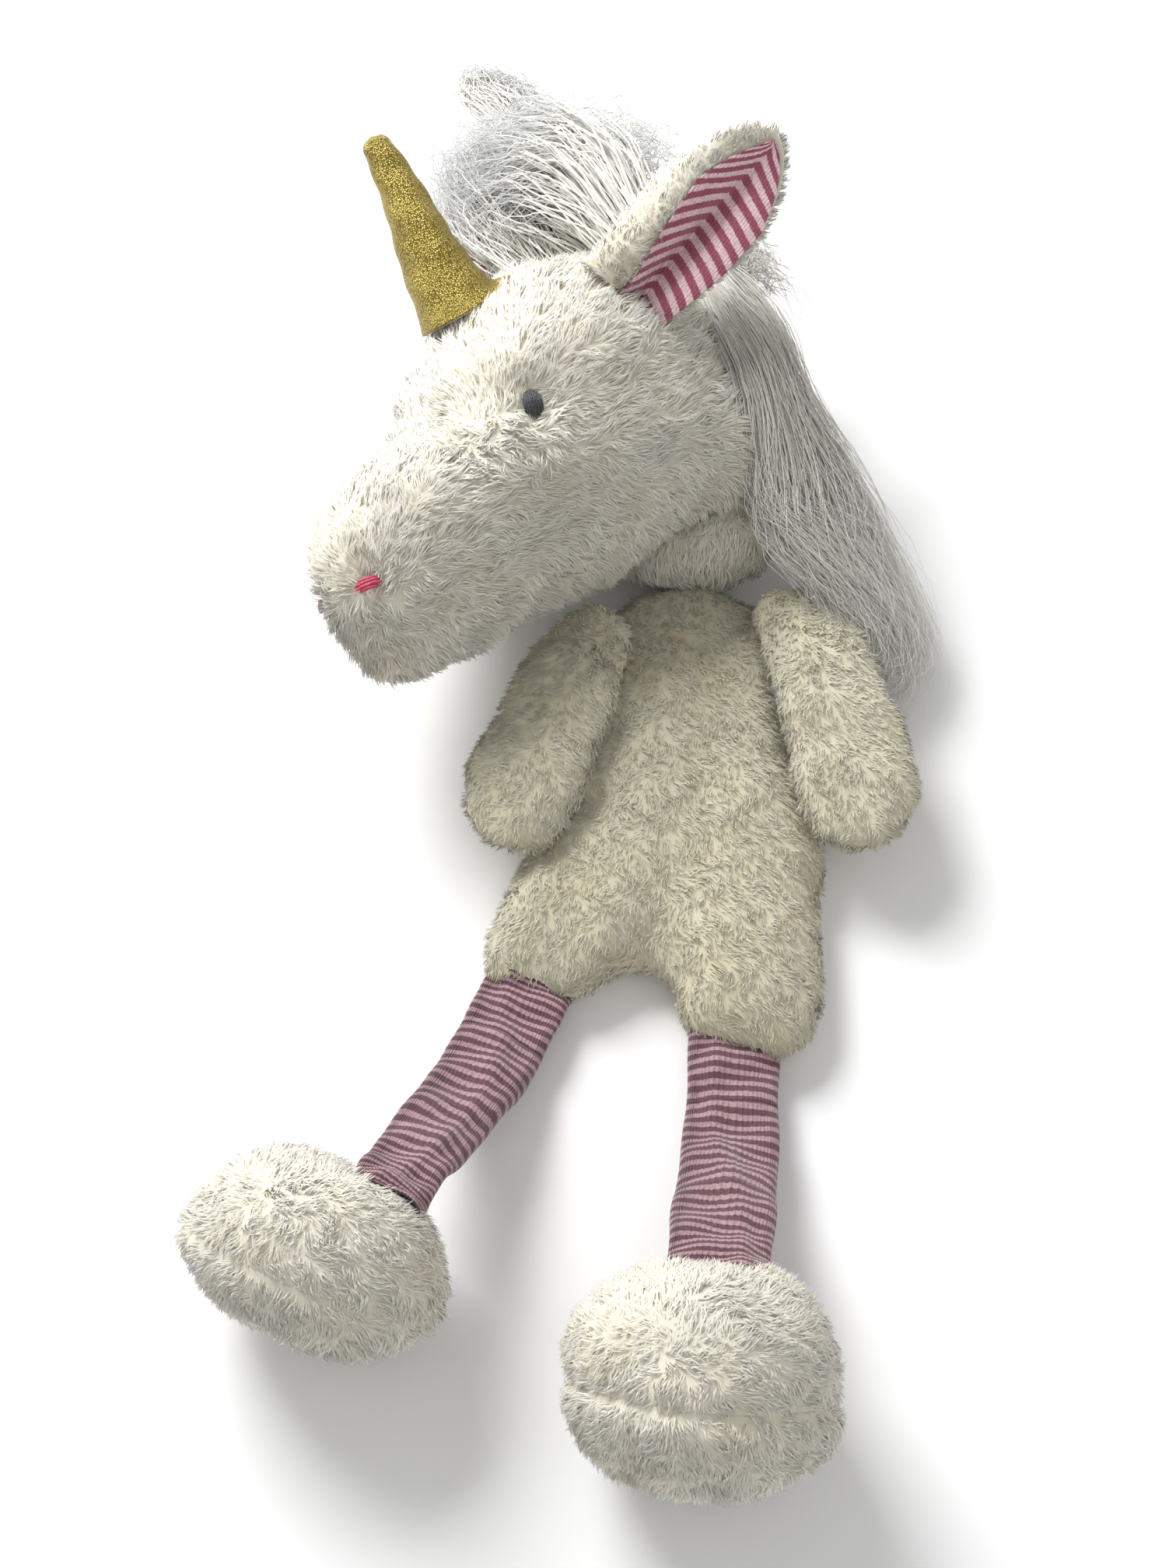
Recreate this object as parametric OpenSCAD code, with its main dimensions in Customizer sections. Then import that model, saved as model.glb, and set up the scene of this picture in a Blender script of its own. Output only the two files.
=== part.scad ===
// Plush unicorn lying on its back: +Y is towards the head, +Z is up, +X is the toy's own left.
// The origin is the middle of the flat patch on the back panel that the toy rests on.

/* [Fabric] */
// Thickness of the plush and of the knit with its backing
skin = 2.5; // [1.5:0.5:4]
// Gap between soft pieces that move against each other
clear = 0.6; // [0.4:0.1:1.5]

/* [Torso] */
// Height of the torso's side seam above the surface it lies on
torso_seam_z = 12; // [10:1:14]
// Height of the front panel above the side seam
torso_front = 12; // [8:1:16]

/* [Neck] */
// Width of the neck where it joins the torso
neck_w = 54; // [42:1:56]
// Thickness of the neck from front to back
neck_thick = 38; // [30:1:42]

/* [Head] */
// Widest half width of the skull, cheek to cheek
skull_half_w = 52; // [46:1:56]
// Half width of the muzzle
muzzle_half_w = 34; // [28:1:38]
// How far the head is turned from facing the feet
head_yaw = -130; // [-140:1:-120]
// How far the muzzle points up
head_pitch = 12; // [5:1:18]
// How far the head lies over on its right cheek
head_roll = 54; // [45:1:60]

/* [Horn] */
// Length of the horn
horn_length = 70; // [50:1:80]
// Width of the horn at its foot
horn_base_w = 32; // [24:1:36]
// Width of the horn at its tip
horn_tip_w = 11; // [8:1:16]

/* [Ears] */
// Length of each ear
ear_length = 82; // [60:1:90]
// Width of each ear
ear_w = 34; // [24:1:38]

/* [Arms] */
// Length of each arm
arm_length = 104; // [80:1:110]
// Width of each arm near its paw
arm_w = 44; // [34:1:48]
// Thickness of each arm
arm_thick = 18; // [14:1:22]

/* [Legs] */
// Width of the flattened leg tube
leg_w = 31; // [24:1:36]
// Thickness of the flattened leg tube
leg_thick = 8; // [6:1:10]

/* [Feet] */
// Radius of each foot across its sole seam
foot_r = 46; // [38:1:48]
// Height of the top panel above the sole seam
foot_top = 40; // [34:1:44]
// Depth of the sole panel below the sole seam
foot_sole = 36; // [30:1:38]

/* [Hidden] */
rows = 10;           // bands from one pole of a pad to the other
cols = 24;           // columns round a pad
rim = rows / 2;      // the band edge that is the seam between the two sides of a pad
$fn = 40;

head_at = [-34, 133, 57];
horn_at = [17, 0, 59];
foot_left_at = [7, -228, 41.5];
foot_right_at = [-119, -187, 37];
ear_left_at = [-11, 159, 105];
ear_right_at = [-62, 184, 34];
ankle_left = [14, -180, 44];
ankle_right = [-86, -152, 44];
knee_left = [19, -141, 16];
knee_right = [-66, -113, 16];
hem_left = [22, -99, 9];
hem_right = [-51, -79, 9];
arm_left_at = [45, 72, 34];
arm_right_at = [-24, 61, 34];
arm_left_turn = -75;     // direction of the arm seen from above
arm_right_turn = -111;
knee_gap = 6;             // from a fold line to the round end of a tube
neck_floor = -47;         // height in the head frame of the flat face that meets the neck
neck_front_x = 26;        // where that flat face ends under the jaw
neck_fore = 24;           // from the neck's middle towards the head
neck_aft = 14;            // and towards the torso

torso_outline = [[58, -40], [62, -20], [54, 20], [48, 52], [38, 78], [10, 83], [-16, 79], [-36, 52],
    [-48, 15], [-58, -27], [-69, -60], [-62, -74], [-36, -80], [-14, -72], [2, -78], [10, -95],
    [46, -97], [54, -75]];
head_outline = [[134, -6], [126, 20], [98, 32], [70, 36], [46, 50], [16, 57], [-16, 57], [-44, 43],
    [-61, 18], [-62, -10], [-50, -36], [-24, -50], [8, -56], [38, -52], [68, -44], [100, -42],
    [126, -30]];
// Drawn for a unit length and a unit width, and scaled to the sizes above
arm_shape = [[0, 0.32], [-0.087, 0.18], [-0.115, 0], [-0.087, -0.18], [0, -0.32], [0.288, -0.41],
    [0.654, -0.5], [0.904, -0.43], [1, -0.136], [1, 0.136], [0.904, 0.43], [0.654, 0.5], [0.288, 0.41]];
ear_shape = [[0, 0.265], [-0.049, 0], [0, -0.265], [0.366, -0.5], [0.683, -0.38], [0.927, -0.118],
    [1, 0], [0.927, 0.118], [0.683, 0.38], [0.366, 0.5]];
arm_outline = [for (p = arm_shape) [p.x * arm_length, p.y * arm_w]];
ear_outline = [for (p = ear_shape) [p.x * ear_length, p.y * ear_w]];
mane_outline = [[22, 186], [34, 190], [56, 154], [74, 122], [64, 110], [46, 120], [34, 152]];
mane_ends_outline = [[68, 104], [83, 112], [94, 84], [102, 58], [96, 42], [88, 62], [79, 84]];
forelock_outline = [[-6, 198], [8, 238], [10, 280], [-22, 310], [-60, 308], [-66, 284], [-58, 252],
    [-48, 216], [-30, 199]];

// A smooth closed curve through points, at t from 0 to 1.
function along(points, t) =
    let (n = len(points), i = floor(t * n), f = t * n - i,
        a = points[(i + n - 1) % n], b = points[i % n], c = points[(i + 1) % n], d = points[(i + 2) % n])
    (2 * b + (c - a) * f + (2 * a - 5 * b + 4 * c - d) * f * f + (3 * b - a - 3 * c + d) * f * f * f) / 2;

// A stuffed pad: a seam outline in its middle plane, crowned to front and back. front and back are
// functions that give the height at a place. The answer is a function that gives a surface point.
function pad(outline, centre, front, back, fullness = 0.8) = function (row, col, inset)
    let (lat = 90 - 180 * row / rows,
        reach = along(outline, (col % cols) / cols) - centre,
        place = centre + reach * (1 - inset / norm(reach)) * pow(max(0, cos(lat)), fullness),
        rise = sin(lat))
    [place.x, place.y, rise * (rise > 0 ? front(place) - inset : back(place) - inset)];

// Where a surface point stands in the list: one point at each pole, a ring of cols between.
function ring_at(row, col) = row == 0 ? 0 : row == rows ? (rows - 1) * cols + 1
    : 1 + (row - 1) * cols + (col + cols) % cols;

function surface_points(shape, inset) = [shape(0, 0, inset),
    for (row = [1:rows - 1]) for (col = [0:cols - 1]) shape(row, col, inset),
    shape(rows, 0, inset)];

function tidy(faces) = [for (f = faces) if (f[0] != f[1] && f[1] != f[2] && f[2] != f[0]) f];

function cell(row, col, base) =
    let (a = base + ring_at(row, col), b = base + ring_at(row, col + 1),
        c = base + ring_at(row + 1, col + 1), d = base + ring_at(row + 1, col))
    [[a, b, c], [a, c, d]];

function flip(faces) = [for (f = faces) [f[2], f[1], f[0]]];

// The wall of fabric along one edge of a panel, between its outer and its inner face.
function edge(p, q, base) = [[p, p + base, q + base], [p, q + base, q]];

// A panel of fabric: the cells of a pad's surface that keep picks, between two depths.
module panel(shape, keep, outer = 0, inner = skin) {
    count = (rows - 1) * cols + 2;
    faces = [for (row = [0:rows - 1]) for (col = [0:cols - 1]) if (keep(row, col)) each concat(
        cell(row, col, 0), flip(cell(row, col, count)),
        row > 0 && !keep(row - 1, col) ? edge(ring_at(row, col), ring_at(row, col + 1), count) : [],
        row < rows - 1 && !keep(row + 1, col)
            ? edge(ring_at(row + 1, col + 1), ring_at(row + 1, col), count) : [],
        !keep(row, (col + cols - 1) % cols)
            ? edge(ring_at(row + 1, col), ring_at(row, col), count) : [],
        !keep(row, (col + 1) % cols)
            ? edge(ring_at(row, col + 1), ring_at(row + 1, col + 1), count) : [])];
    polyhedron(concat(surface_points(shape, outer), surface_points(shape, inner)),
        tidy(faces), convexity = 6);
}

// The whole solid inside a pad's surface at one depth.
module stuffing(shape, inset = skin)
    polyhedron(surface_points(shape, inset),
        tidy([for (row = [0:rows - 1]) for (col = [0:cols - 1]) each cell(row, col, 0)]),
        convexity = 6);

front_half = function (row, col) row < rim;
back_half = function (row, col) row >= rim;

// Torso: a flat pouch of two panels. Its back is cut flat where it rests.
torso_pad = pad(torso_outline, [0, -10], function (p) torso_front, function (p) torso_seam_z + 1, 0.7);

cut_size = 400;   // larger than any piece that a flat face is cut on
module above_surface() difference() {
    children();
    translate([-cut_size / 2, -cut_size / 2, -cut_size]) cube(cut_size);
}
module torso_front_panel() color("ivory")
    translate([0, 0, torso_seam_z]) panel(torso_pad, front_half);
module torso_back_panel() color("linen") above_surface()
    translate([0, 0, torso_seam_z]) panel(torso_pad, back_half);
module torso_filling() color("white") translate([0, 0, torso_seam_z]) stuffing(torso_pad);

// Head frame: x forwards along the muzzle, y to the toy's left, z up through the crown.
module in_head() translate(head_at) rotate([head_roll, -head_pitch, head_yaw]) children();
module in_head_pad() in_head() rotate([90, 0, 0]) children();

cheek_x = 20;     // the head is widest up to here
muzzle_x = 75;    // and narrowed to the muzzle from here on
function head_half_w(p) = p.x < cheek_x ? skull_half_w
    : max(muzzle_half_w, skull_half_w
        - (p.x - cheek_x) * (skull_half_w - muzzle_half_w) / (muzzle_x - cheek_x));
head_pad = pad(head_outline, [30, -4], function (p) head_half_w(p), function (p) head_half_w(p), 0.75);
gusset_cells = function (row, col)
    (row == rim - 1 || row == rim) && col >= 1 && col <= 7;
// The back of the head and the nape, where the mane's strip is sewn on.
nape_cells = function (row, col) (row == rim - 1 || row == rim) && col >= 10 && col <= 14;

module head_trim() difference() {
    children();
    in_head() translate([neck_front_x - cut_size, -cut_size / 2, neck_floor - cut_size])
        cube(cut_size);
}
module head_left_side() color("ivory") head_trim() in_head_pad()
    panel(head_pad, function (row, col) row >= rim && !gusset_cells(row, col));
module head_right_side() color("linen") head_trim() in_head_pad()
    panel(head_pad, function (row, col) row < rim && !gusset_cells(row, col));
module head_gusset() color("seashell") in_head_pad() panel(head_pad, gusset_cells);
module head_filling() color("white") head_trim() in_head_pad() stuffing(head_pad);

// Something sewn on the head: it stands on the flat of one cell of the head's surface.
function cell_corner(row, col) = head_pad(row, col, 0);
function unit(v) = v / norm(v);
module on_cell(row, col) {
    a = cell_corner(floor(row), floor(col));
    b = cell_corner(floor(row), floor(col) + 1);
    c = cell_corner(floor(row) + 1, floor(col) + 1);
    n = unit(cross(c - a, b - a));
    spot = head_pad(row, col, 0);
    foot = spot - n * ((spot - a) * n);
    in_head_pad() translate(foot) rotate([0, acos(n.z), atan2(n.y, n.x)]) children();
}
eye_place = [8.75, 5.1];       // row and column on the left; the right eye mirrors the row
nostril_place = [6.45, 0.4];
eye_r = 5;
nostril_r = 4;
stitch_proud = 1.5;            // how far the stitching stands above the plush
module stitched_spot(r) translate([0, 0, clear]) cylinder(r = r, h = stitch_proud);
module eye_left() color("darkslategray") on_cell(eye_place[0], eye_place[1]) stitched_spot(eye_r);
module eye_right() color("darkslategray")
    on_cell(rows - eye_place[0], eye_place[1]) stitched_spot(eye_r);
module nostril_left() color("crimson")
    on_cell(nostril_place[0], nostril_place[1]) stitched_spot(nostril_r);
module nostril_right() color("crimson")
    on_cell(rows - nostril_place[0], nostril_place[1]) stitched_spot(nostril_r);

horn_wall = 1.2;
horn_lean = -4;
module in_horn() in_head() translate(horn_at) rotate([0, horn_lean, 0]) children();
module horn_body(wall) rotate_extrude()
    polygon([[0, wall], [horn_base_w / 2 - wall, wall],
        [horn_tip_w / 2 - wall, horn_length - horn_tip_w / 2],
        [horn_tip_w / 3 - wall, horn_length - 1 - wall], [0, horn_length - wall]]);
module horn_cover() color("goldenrod") in_horn() difference() {
    horn_body(0);
    translate([0, 0, -horn_wall]) horn_body(horn_wall);
}
module horn_filling() color("white") in_horn() translate([0, 0, -horn_wall]) horn_body(horn_wall);

strip_thick = 1.5;
// Hair: the strip that the mane is sewn to, the long hair and the tuft between the ears.
module mane_strip() color("gainsboro") head_trim() in_head_pad()
    panel(head_pad, nape_cells, outer = -strip_thick, inner = 0);
module hair_lock(outline, centre, z, depth) translate([0, 0, z])
    stuffing(pad(outline, centre, function (p) depth, function (p) depth, 0.6), 0);
// Each lock has its middle in plan, its middle height and the depth of its hair on each side.
module mane_hair() color("whitesmoke") hair_lock(mane_outline, [50, 150], 40, 9);
module mane_hair_ends() color("whitesmoke") hair_lock(mane_ends_outline, [88, 84], 17, 7);
module forelock_hair() color("lightgray") hair_lock(forelock_outline, [-24, 252], 40, 20);

// Ears: a plush back and a knit lining sewn face to face.
ear_front = 3;     // crown of the lining
ear_back = 5;      // crown of the plush back
ear_skin = 2;
ear_pad = pad(ear_outline, [36, 0], function (p) ear_front, function (p) ear_back, 0.5);
module in_left_ear() translate(ear_left_at) rotate([35, -28, 45]) children();
module in_right_ear() translate(ear_right_at) rotate([-58, -12, 105]) children();
module ear_half(keep) panel(ear_pad, keep, outer = 0, inner = ear_skin);
module ear_left_back() color("ivory") in_left_ear() ear_half(back_half);
module ear_left_lining() color("palevioletred") in_left_ear() ear_half(front_half);
module ear_right_back() color("ivory") in_right_ear() ear_half(back_half);
module ear_right_lining() color("palevioletred") in_right_ear() ear_half(front_half);

// Neck: a short stuffed barrel from the torso to the flat under the head, open at both ends.
neck_at = [13, 101, 22];
neck_outline = [for (a = [0:30:330]) [neck_w / 2 * cos(a), neck_thick / 2 * sin(a)]];
neck_pad = pad(neck_outline, [0, 0], function (p) neck_fore, function (p) neck_aft, 0.45);
module in_neck() difference() {
    translate(neck_at) rotate([-90, 0, 0]) children();
    in_head() translate([-cut_size / 2, -cut_size / 2, neck_floor - clear]) cube(cut_size);
}
module neck_skin() color("ivory") in_neck()
    panel(neck_pad, function (row, col) row > 0 && row < rows - 1);
module neck_filling() color("white") in_neck() stuffing(neck_pad);

// Arms: flat stuffed lobes sewn at the shoulders.
arm_pad = pad(arm_outline, [50, 0], function (p) arm_thick / 2, function (p) arm_thick / 2, 0.7);
module in_left_arm() translate(arm_left_at) rotate([0, 2, arm_left_turn]) children();
module in_right_arm() translate(arm_right_at) rotate([0, 2, arm_right_turn]) children();
module arm_left_front_panel() color("ivory") in_left_arm() panel(arm_pad, front_half);
module arm_left_back_panel() color("linen") in_left_arm() panel(arm_pad, back_half);
module arm_left_filling() color("white") in_left_arm() stuffing(arm_pad);
module arm_right_front_panel() color("ivory") in_right_arm() panel(arm_pad, front_half);
module arm_right_back_panel() color("linen") in_right_arm() panel(arm_pad, back_half);
module arm_right_filling() color("white") in_right_arm() stuffing(arm_pad);

// Legs: a flattened knit tube, in two lengths that meet at the middle fold.
module fold_edge(at, towards) translate(at)
    rotate([0, 0, atan2(towards.y - at.y, towards.x - at.x)])
    rotate([90, 0, 0]) cylinder(d = leg_thick, h = leg_w, center = true);
function step_to(a, b, far) = a + (b - a) * far / norm(b - a);
module tube(from, to) hull() {
    fold_edge(step_to(from, to, knee_gap), to);
    fold_edge(step_to(to, from, knee_gap), to + (to - from));
}
module leg_left_upper() color("palevioletred") tube(hem_left, knee_left);
module leg_left_lower() color("rosybrown") tube(knee_left, ankle_left);
module leg_right_upper() color("palevioletred") tube(hem_right, knee_right);
module leg_right_lower() color("rosybrown") tube(knee_right, ankle_right);

// Feet: big stuffed balls of a top panel and a sole panel.
function foot_outline(squash) = [for (a = [0:30:330]) foot_r * [squash * cos(a), sin(a)]];
function foot_pad(squash, height) = pad(foot_outline(squash), [0, 0],
    function (p) foot_top * height, function (p) foot_sole * height, 0.75);
foot_left_pad = foot_pad(0.9, 1);
foot_right_pad = foot_pad(0.8, 0.88);
module in_left_foot() translate(foot_left_at) rotate([0, 62, 84]) children();
module in_right_foot() translate(foot_right_at) rotate([0, 62, 66]) children();
module foot_left_top_panel() color("ivory") in_left_foot() panel(foot_left_pad, front_half);
module foot_left_sole_panel() color("linen") in_left_foot() panel(foot_left_pad, back_half);
module foot_left_filling() color("white") in_left_foot() stuffing(foot_left_pad);
module foot_right_top_panel() color("ivory") in_right_foot() panel(foot_right_pad, front_half);
module foot_right_sole_panel() color("linen") in_right_foot() panel(foot_right_pad, back_half);
module foot_right_filling() color("white") in_right_foot() stuffing(foot_right_pad);

torso_front_panel();
torso_back_panel();
torso_filling();
neck_skin();
neck_filling();
head_left_side();
head_right_side();
head_gusset();
head_filling();
eye_left();
eye_right();
nostril_left();
nostril_right();
horn_cover();
horn_filling();
forelock_hair();
mane_strip();
mane_hair();
mane_hair_ends();
ear_left_back();
ear_left_lining();
ear_right_back();
ear_right_lining();
arm_left_front_panel();
arm_left_back_panel();
arm_left_filling();
arm_right_front_panel();
arm_right_back_panel();
arm_right_filling();
leg_left_upper();
leg_left_lower();
leg_right_upper();
leg_right_lower();
foot_left_top_panel();
foot_left_sole_panel();
foot_left_filling();
foot_right_top_panel();
foot_right_sole_panel();
foot_right_filling();
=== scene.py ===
import math
import bpy
import numpy as np
from mathutils import Matrix, Vector
from mathutils.bvhtree import BVHTree
from mathutils.kdtree import KDTree


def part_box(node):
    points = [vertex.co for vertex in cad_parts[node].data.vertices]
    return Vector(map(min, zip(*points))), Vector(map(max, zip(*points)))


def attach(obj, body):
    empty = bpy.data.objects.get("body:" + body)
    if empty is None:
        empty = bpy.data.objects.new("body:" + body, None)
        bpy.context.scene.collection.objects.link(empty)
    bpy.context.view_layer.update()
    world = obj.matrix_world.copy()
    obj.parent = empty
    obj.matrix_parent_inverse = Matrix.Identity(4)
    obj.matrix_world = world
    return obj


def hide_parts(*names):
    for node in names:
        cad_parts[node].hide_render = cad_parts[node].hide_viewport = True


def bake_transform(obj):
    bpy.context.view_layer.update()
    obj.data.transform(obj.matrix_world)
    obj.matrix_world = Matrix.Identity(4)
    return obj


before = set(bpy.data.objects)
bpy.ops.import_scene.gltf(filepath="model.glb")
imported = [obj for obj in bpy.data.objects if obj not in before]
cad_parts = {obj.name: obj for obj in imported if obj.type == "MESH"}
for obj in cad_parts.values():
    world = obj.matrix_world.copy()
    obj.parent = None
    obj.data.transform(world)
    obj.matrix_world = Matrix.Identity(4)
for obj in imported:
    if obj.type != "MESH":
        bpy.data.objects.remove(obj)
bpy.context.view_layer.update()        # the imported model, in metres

scene = bpy.context.scene
millimetre = 0.001


# Camera: it looks down over the feet towards the head.
camera = {"target": (-0.029, -0.006, 0.030), "distance": 1.0, "down": 62, "lens": 64.29,
          "sensor": 36}

def addCamera():
    down = math.radians(camera["down"])
    back = Vector((0, -math.cos(down), math.sin(down))) * camera["distance"]
    bpy.ops.object.camera_add(location=Vector(camera["target"]) + back,
                              rotation=(math.radians(90 - camera["down"]), 0, 0))
    view = bpy.context.object
    view.data.sensor_fit = "VERTICAL"
    view.data.sensor_height = camera["sensor"]
    view.data.lens = camera["lens"]
    view.data.dof.use_dof = False
    scene.camera = view
    scene.view_settings.view_transform = "Standard"

addCamera()


# Small helpers for objects, places and nodes.
def selectOnly(obj):
    bpy.ops.object.select_all(action="DESELECT")
    obj.select_set(True)
    bpy.context.view_layer.objects.active = obj

def placed(at, turn):
    # a frame in metres from a place in millimetres and turns in degrees about X, then Y, then Z
    x, y, z = (math.radians(a) for a in turn)
    return (Matrix.Translation(Vector(at) * millimetre) @ Matrix.Rotation(z, 4, "Z")
            @ Matrix.Rotation(y, 4, "Y") @ Matrix.Rotation(x, 4, "X"))

def moved(matrix, co):
    m = np.array(matrix)
    return co @ m[:3, :3].T + m[:3, 3]

def turned(matrix, v):
    return v @ np.array(matrix)[:3, :3].T

def wayOf(matrix, axis):
    # the way a frame's own X, Y or Z points, as 0, 1 or 2
    return np.array(matrix)[:3, axis]

def pointsOf(obj):
    co = np.empty(len(obj.data.vertices) * 3)
    obj.data.vertices.foreach_get("co", co)
    return co.reshape(-1, 3)

def setPoints(obj, co):
    obj.data.vertices.foreach_set("co", np.ascontiguousarray(co, np.float32).ravel())
    obj.data.update()

def normalsOf(obj):
    n = np.empty(len(obj.data.vertices) * 3, np.float32)
    obj.data.vertex_normals.foreach_get("vector", n)
    return n.reshape(-1, 3).astype(float)

def unit(v):
    return v / np.maximum(np.linalg.norm(v, axis=-1, keepdims=True), 1e-9)

def applied(obj, kind, **settings):
    selectOnly(obj)
    modifier = obj.modifiers.new(kind.lower(), kind)
    for key, value in settings.items():
        setattr(modifier, key, value)
    bpy.ops.object.modifier_apply(modifier=modifier.name)

def copyOf(source, name):
    obj = bpy.data.objects.new(name, source.data.copy())
    scene.collection.objects.link(obj)
    return obj

def joined(parts, name):
    bpy.ops.object.select_all(action="DESELECT")
    for part in parts:
        part.select_set(True)
    bpy.context.view_layer.objects.active = parts[0]
    bpy.ops.object.join()
    parts[0].name = parts[0].data.name = name
    return parts[0]

def edited(obj, *steps):
    selectOnly(obj)
    bpy.ops.object.mode_set(mode="EDIT")
    bpy.ops.mesh.select_all(action="SELECT")
    for step in steps:
        step()
    bpy.ops.object.mode_set(mode="OBJECT")

def welded(obj, within=0.00002):
    edited(obj, lambda: bpy.ops.mesh.remove_doubles(threshold=within))

def capped(obj):
    # closes the open end with a flat face
    edited(obj, lambda: bpy.ops.mesh.select_all(action="DESELECT"),
           lambda: bpy.ops.mesh.select_non_manifold(),
           lambda: bpy.ops.mesh.edge_face_add())

def faceOut(obj):
    edited(obj, lambda: bpy.ops.mesh.normals_make_consistent(inside=False))

def faceTo(obj, out):
    if (normalsOf(obj) @ out).mean() < 0:
        edited(obj, lambda: bpy.ops.mesh.flip_normals())

def smoothed(obj):
    selectOnly(obj)
    bpy.ops.object.shade_smooth()

def addMap(obj):
    if not obj.data.uv_layers:
        obj.data.uv_layers.new(name="UVMap")

def mapOf(obj):
    uv = np.empty(len(obj.data.loops) * 2, np.float32)
    obj.data.uv_layers[0].uv.foreach_get("vector", uv)
    return uv.reshape(-1, 2)

def setMap(obj, uv):
    obj.data.uv_layers[0].uv.foreach_set("vector", uv.astype(np.float32).ravel())

def litSoftly(obj, over, soft):
    # lights the piece partly as if its surface looked the way of over
    lit = normalsOf(obj) * (1 - soft) + over * soft
    obj.data.normals_split_custom_set_from_vertices(unit(lit))

def waves(co, size, seed):
    # smooth lumps of about that size, from -1 to 1
    rng = np.random.default_rng(seed)
    total = np.zeros(len(co))
    for turn in range(5):
        way = unit(rng.normal(size=3)) * 2 * math.pi / size * (0.7 + 0.25 * turn)
        total += np.sin(co @ way + rng.random() * 6.28)
    return total / 3


# Finishes.
def addMaterial(name, **values):
    material = bpy.data.materials.new(name)
    material.use_nodes = True
    shader = material.node_tree.nodes["Principled BSDF"]
    for key, value in values.items():
        shader.inputs[key.replace("_", " ")].default_value = value
    return material, shader

def addNode(material, kind, inputs=None, **settings):
    node = material.node_tree.nodes.new("ShaderNode" + kind)
    for key, value in settings.items():
        setattr(node, key, value)
    for key, value in (inputs or {}).items():
        if isinstance(value, bpy.types.NodeSocket):
            material.node_tree.links.new(value, node.inputs[key])
        else:
            node.inputs[key].default_value = value
    return node

def addRamp(material, factor, stops):
    node = addNode(material, "ValToRGB", {"Fac": factor})
    while len(node.color_ramp.elements) < len(stops):
        node.color_ramp.elements.new(0.5)
    for element, (at, colour) in zip(node.color_ramp.elements, stops):
        element.position = at
        element.color = (*colour, 1)
    return node.outputs["Color"]

def addNoise(material, scale, detail, roughness=0.5):
    place = addNode(material, "TexCoord")
    noise = addNode(material, "TexNoise", {"Vector": place.outputs["Object"], "Scale": scale,
                                           "Detail": detail, "Roughness": roughness})
    return noise.outputs["Fac"]

def addMath(material, operation, *values):
    return addNode(material, "Math", dict(enumerate(values)), operation=operation).outputs[0]

def mapParts(material):
    uv = addNode(material, "UVMap", uv_map="UVMap")
    parts = addNode(material, "SeparateXYZ", {"Vector": uv.outputs["UV"]})
    return parts.outputs["X"], parts.outputs["Y"]

def multiplied(material, factor, one, two):
    node = addNode(material, "Mix", data_type="RGBA", blend_type="MULTIPLY")
    for index, value in ((0, factor), (6, one), (7, two)):
        if isinstance(value, bpy.types.NodeSocket):
            material.node_tree.links.new(value, node.inputs[index])
        else:
            node.inputs[index].default_value = value
    return node.outputs[2]

def linkTo(material, socket, shader, name):
    material.node_tree.links.new(socket, shader.inputs[name])

def addBump(material, height, shader, distance, strength=1.0):
    bump = addNode(material, "Bump", {"Height": height, "Distance": distance,
                                      "Strength": strength})
    linkTo(material, bump.outputs["Normal"], shader, "Normal")

def plushFinish(name, root, middle, tip, spotted=False):
    # u of the pile's map is a number for each lock, and v runs from its root to its tip
    material, shader = addMaterial(name, Roughness=0.9, Sheen_Weight=0.25, Sheen_Roughness=0.5,
                                   Specular_IOR_Level=0.15)
    u, v = mapParts(material)
    # painted shade: each lock is darker at its root, deep in the pile, than at its tip
    along = addRamp(material, v, [(0.0, root), (0.45, middle), (1.0, tip)])
    shade = addRamp(material, u,
                    [(0.0, (0.93, 0.915, 0.88)), (0.5, (1, 0.99, 0.96)), (1.0, (1, 1, 1))])
    colour = multiplied(material, 1.0, along, shade)
    tint = addRamp(material, addNoise(material, 38.0, 4.0, 0.6),
                   [(0.32, (0.93, 0.93, 0.95)), (0.5, (1, 1, 1)), (0.68, (1.0, 0.975, 0.93))])
    colour = multiplied(material, 0.8, colour, tint)
    if spotted:
        spots = addRamp(material, addNoise(material, 24.0, 2.0),
                        [(0.66, (0, 0, 0)), (0.74, (1, 1, 1))])
        colour = multiplied(material, spots, colour, (0.94, 0.86, 0.80, 1))
    linkTo(material, colour, shader, "Base Color")
    return material

def knitFinish(name, dark, light, wobble, darkShare, wales):
    # v of the knit's map counts half stripes along the cloth, and u crosses its wales
    material, shader = addMaterial(name, Roughness=0.9, Sheen_Weight=0.25, Sheen_Roughness=0.6,
                                   Specular_IOR_Level=0.2)
    u, v = mapParts(material)
    torn = addMath(material, "MULTIPLY_ADD", addNoise(material, 1100.0, 1.0), 0.35, v)
    shift = addMath(material, "MULTIPLY_ADD", addNoise(material, 55.0, 1.0), wobble, torn)
    stripe = addRamp(material, addMath(material, "PINGPONG", shift, 1.0),
                     [(darkShare - 0.07, dark), (darkShare + 0.07, light)])
    fibre = addNoise(material, 900.0, 3.0, 0.7)
    flecks = addRamp(material, fibre, [(0.36, (0.74, 0.70, 0.72)), (0.6, (1.06, 1.04, 1.05))])
    colour = multiplied(material, 0.85, stripe, flecks)
    # painted shade: the knit is darker in the grooves between its wales
    groove = addMath(material, "PINGPONG", addMath(material, "MULTIPLY", u, 2.0 * wales), 1.0)
    lines = addRamp(material, groove, [(0.0, (0.62, 0.58, 0.60)), (0.4, (1, 1, 1))])
    colour = multiplied(material, 0.8, colour, lines)
    linkTo(material, colour, shader, "Base Color")
    addBump(material, fibre, shader, 0.0004, 0.7)
    return material

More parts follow.
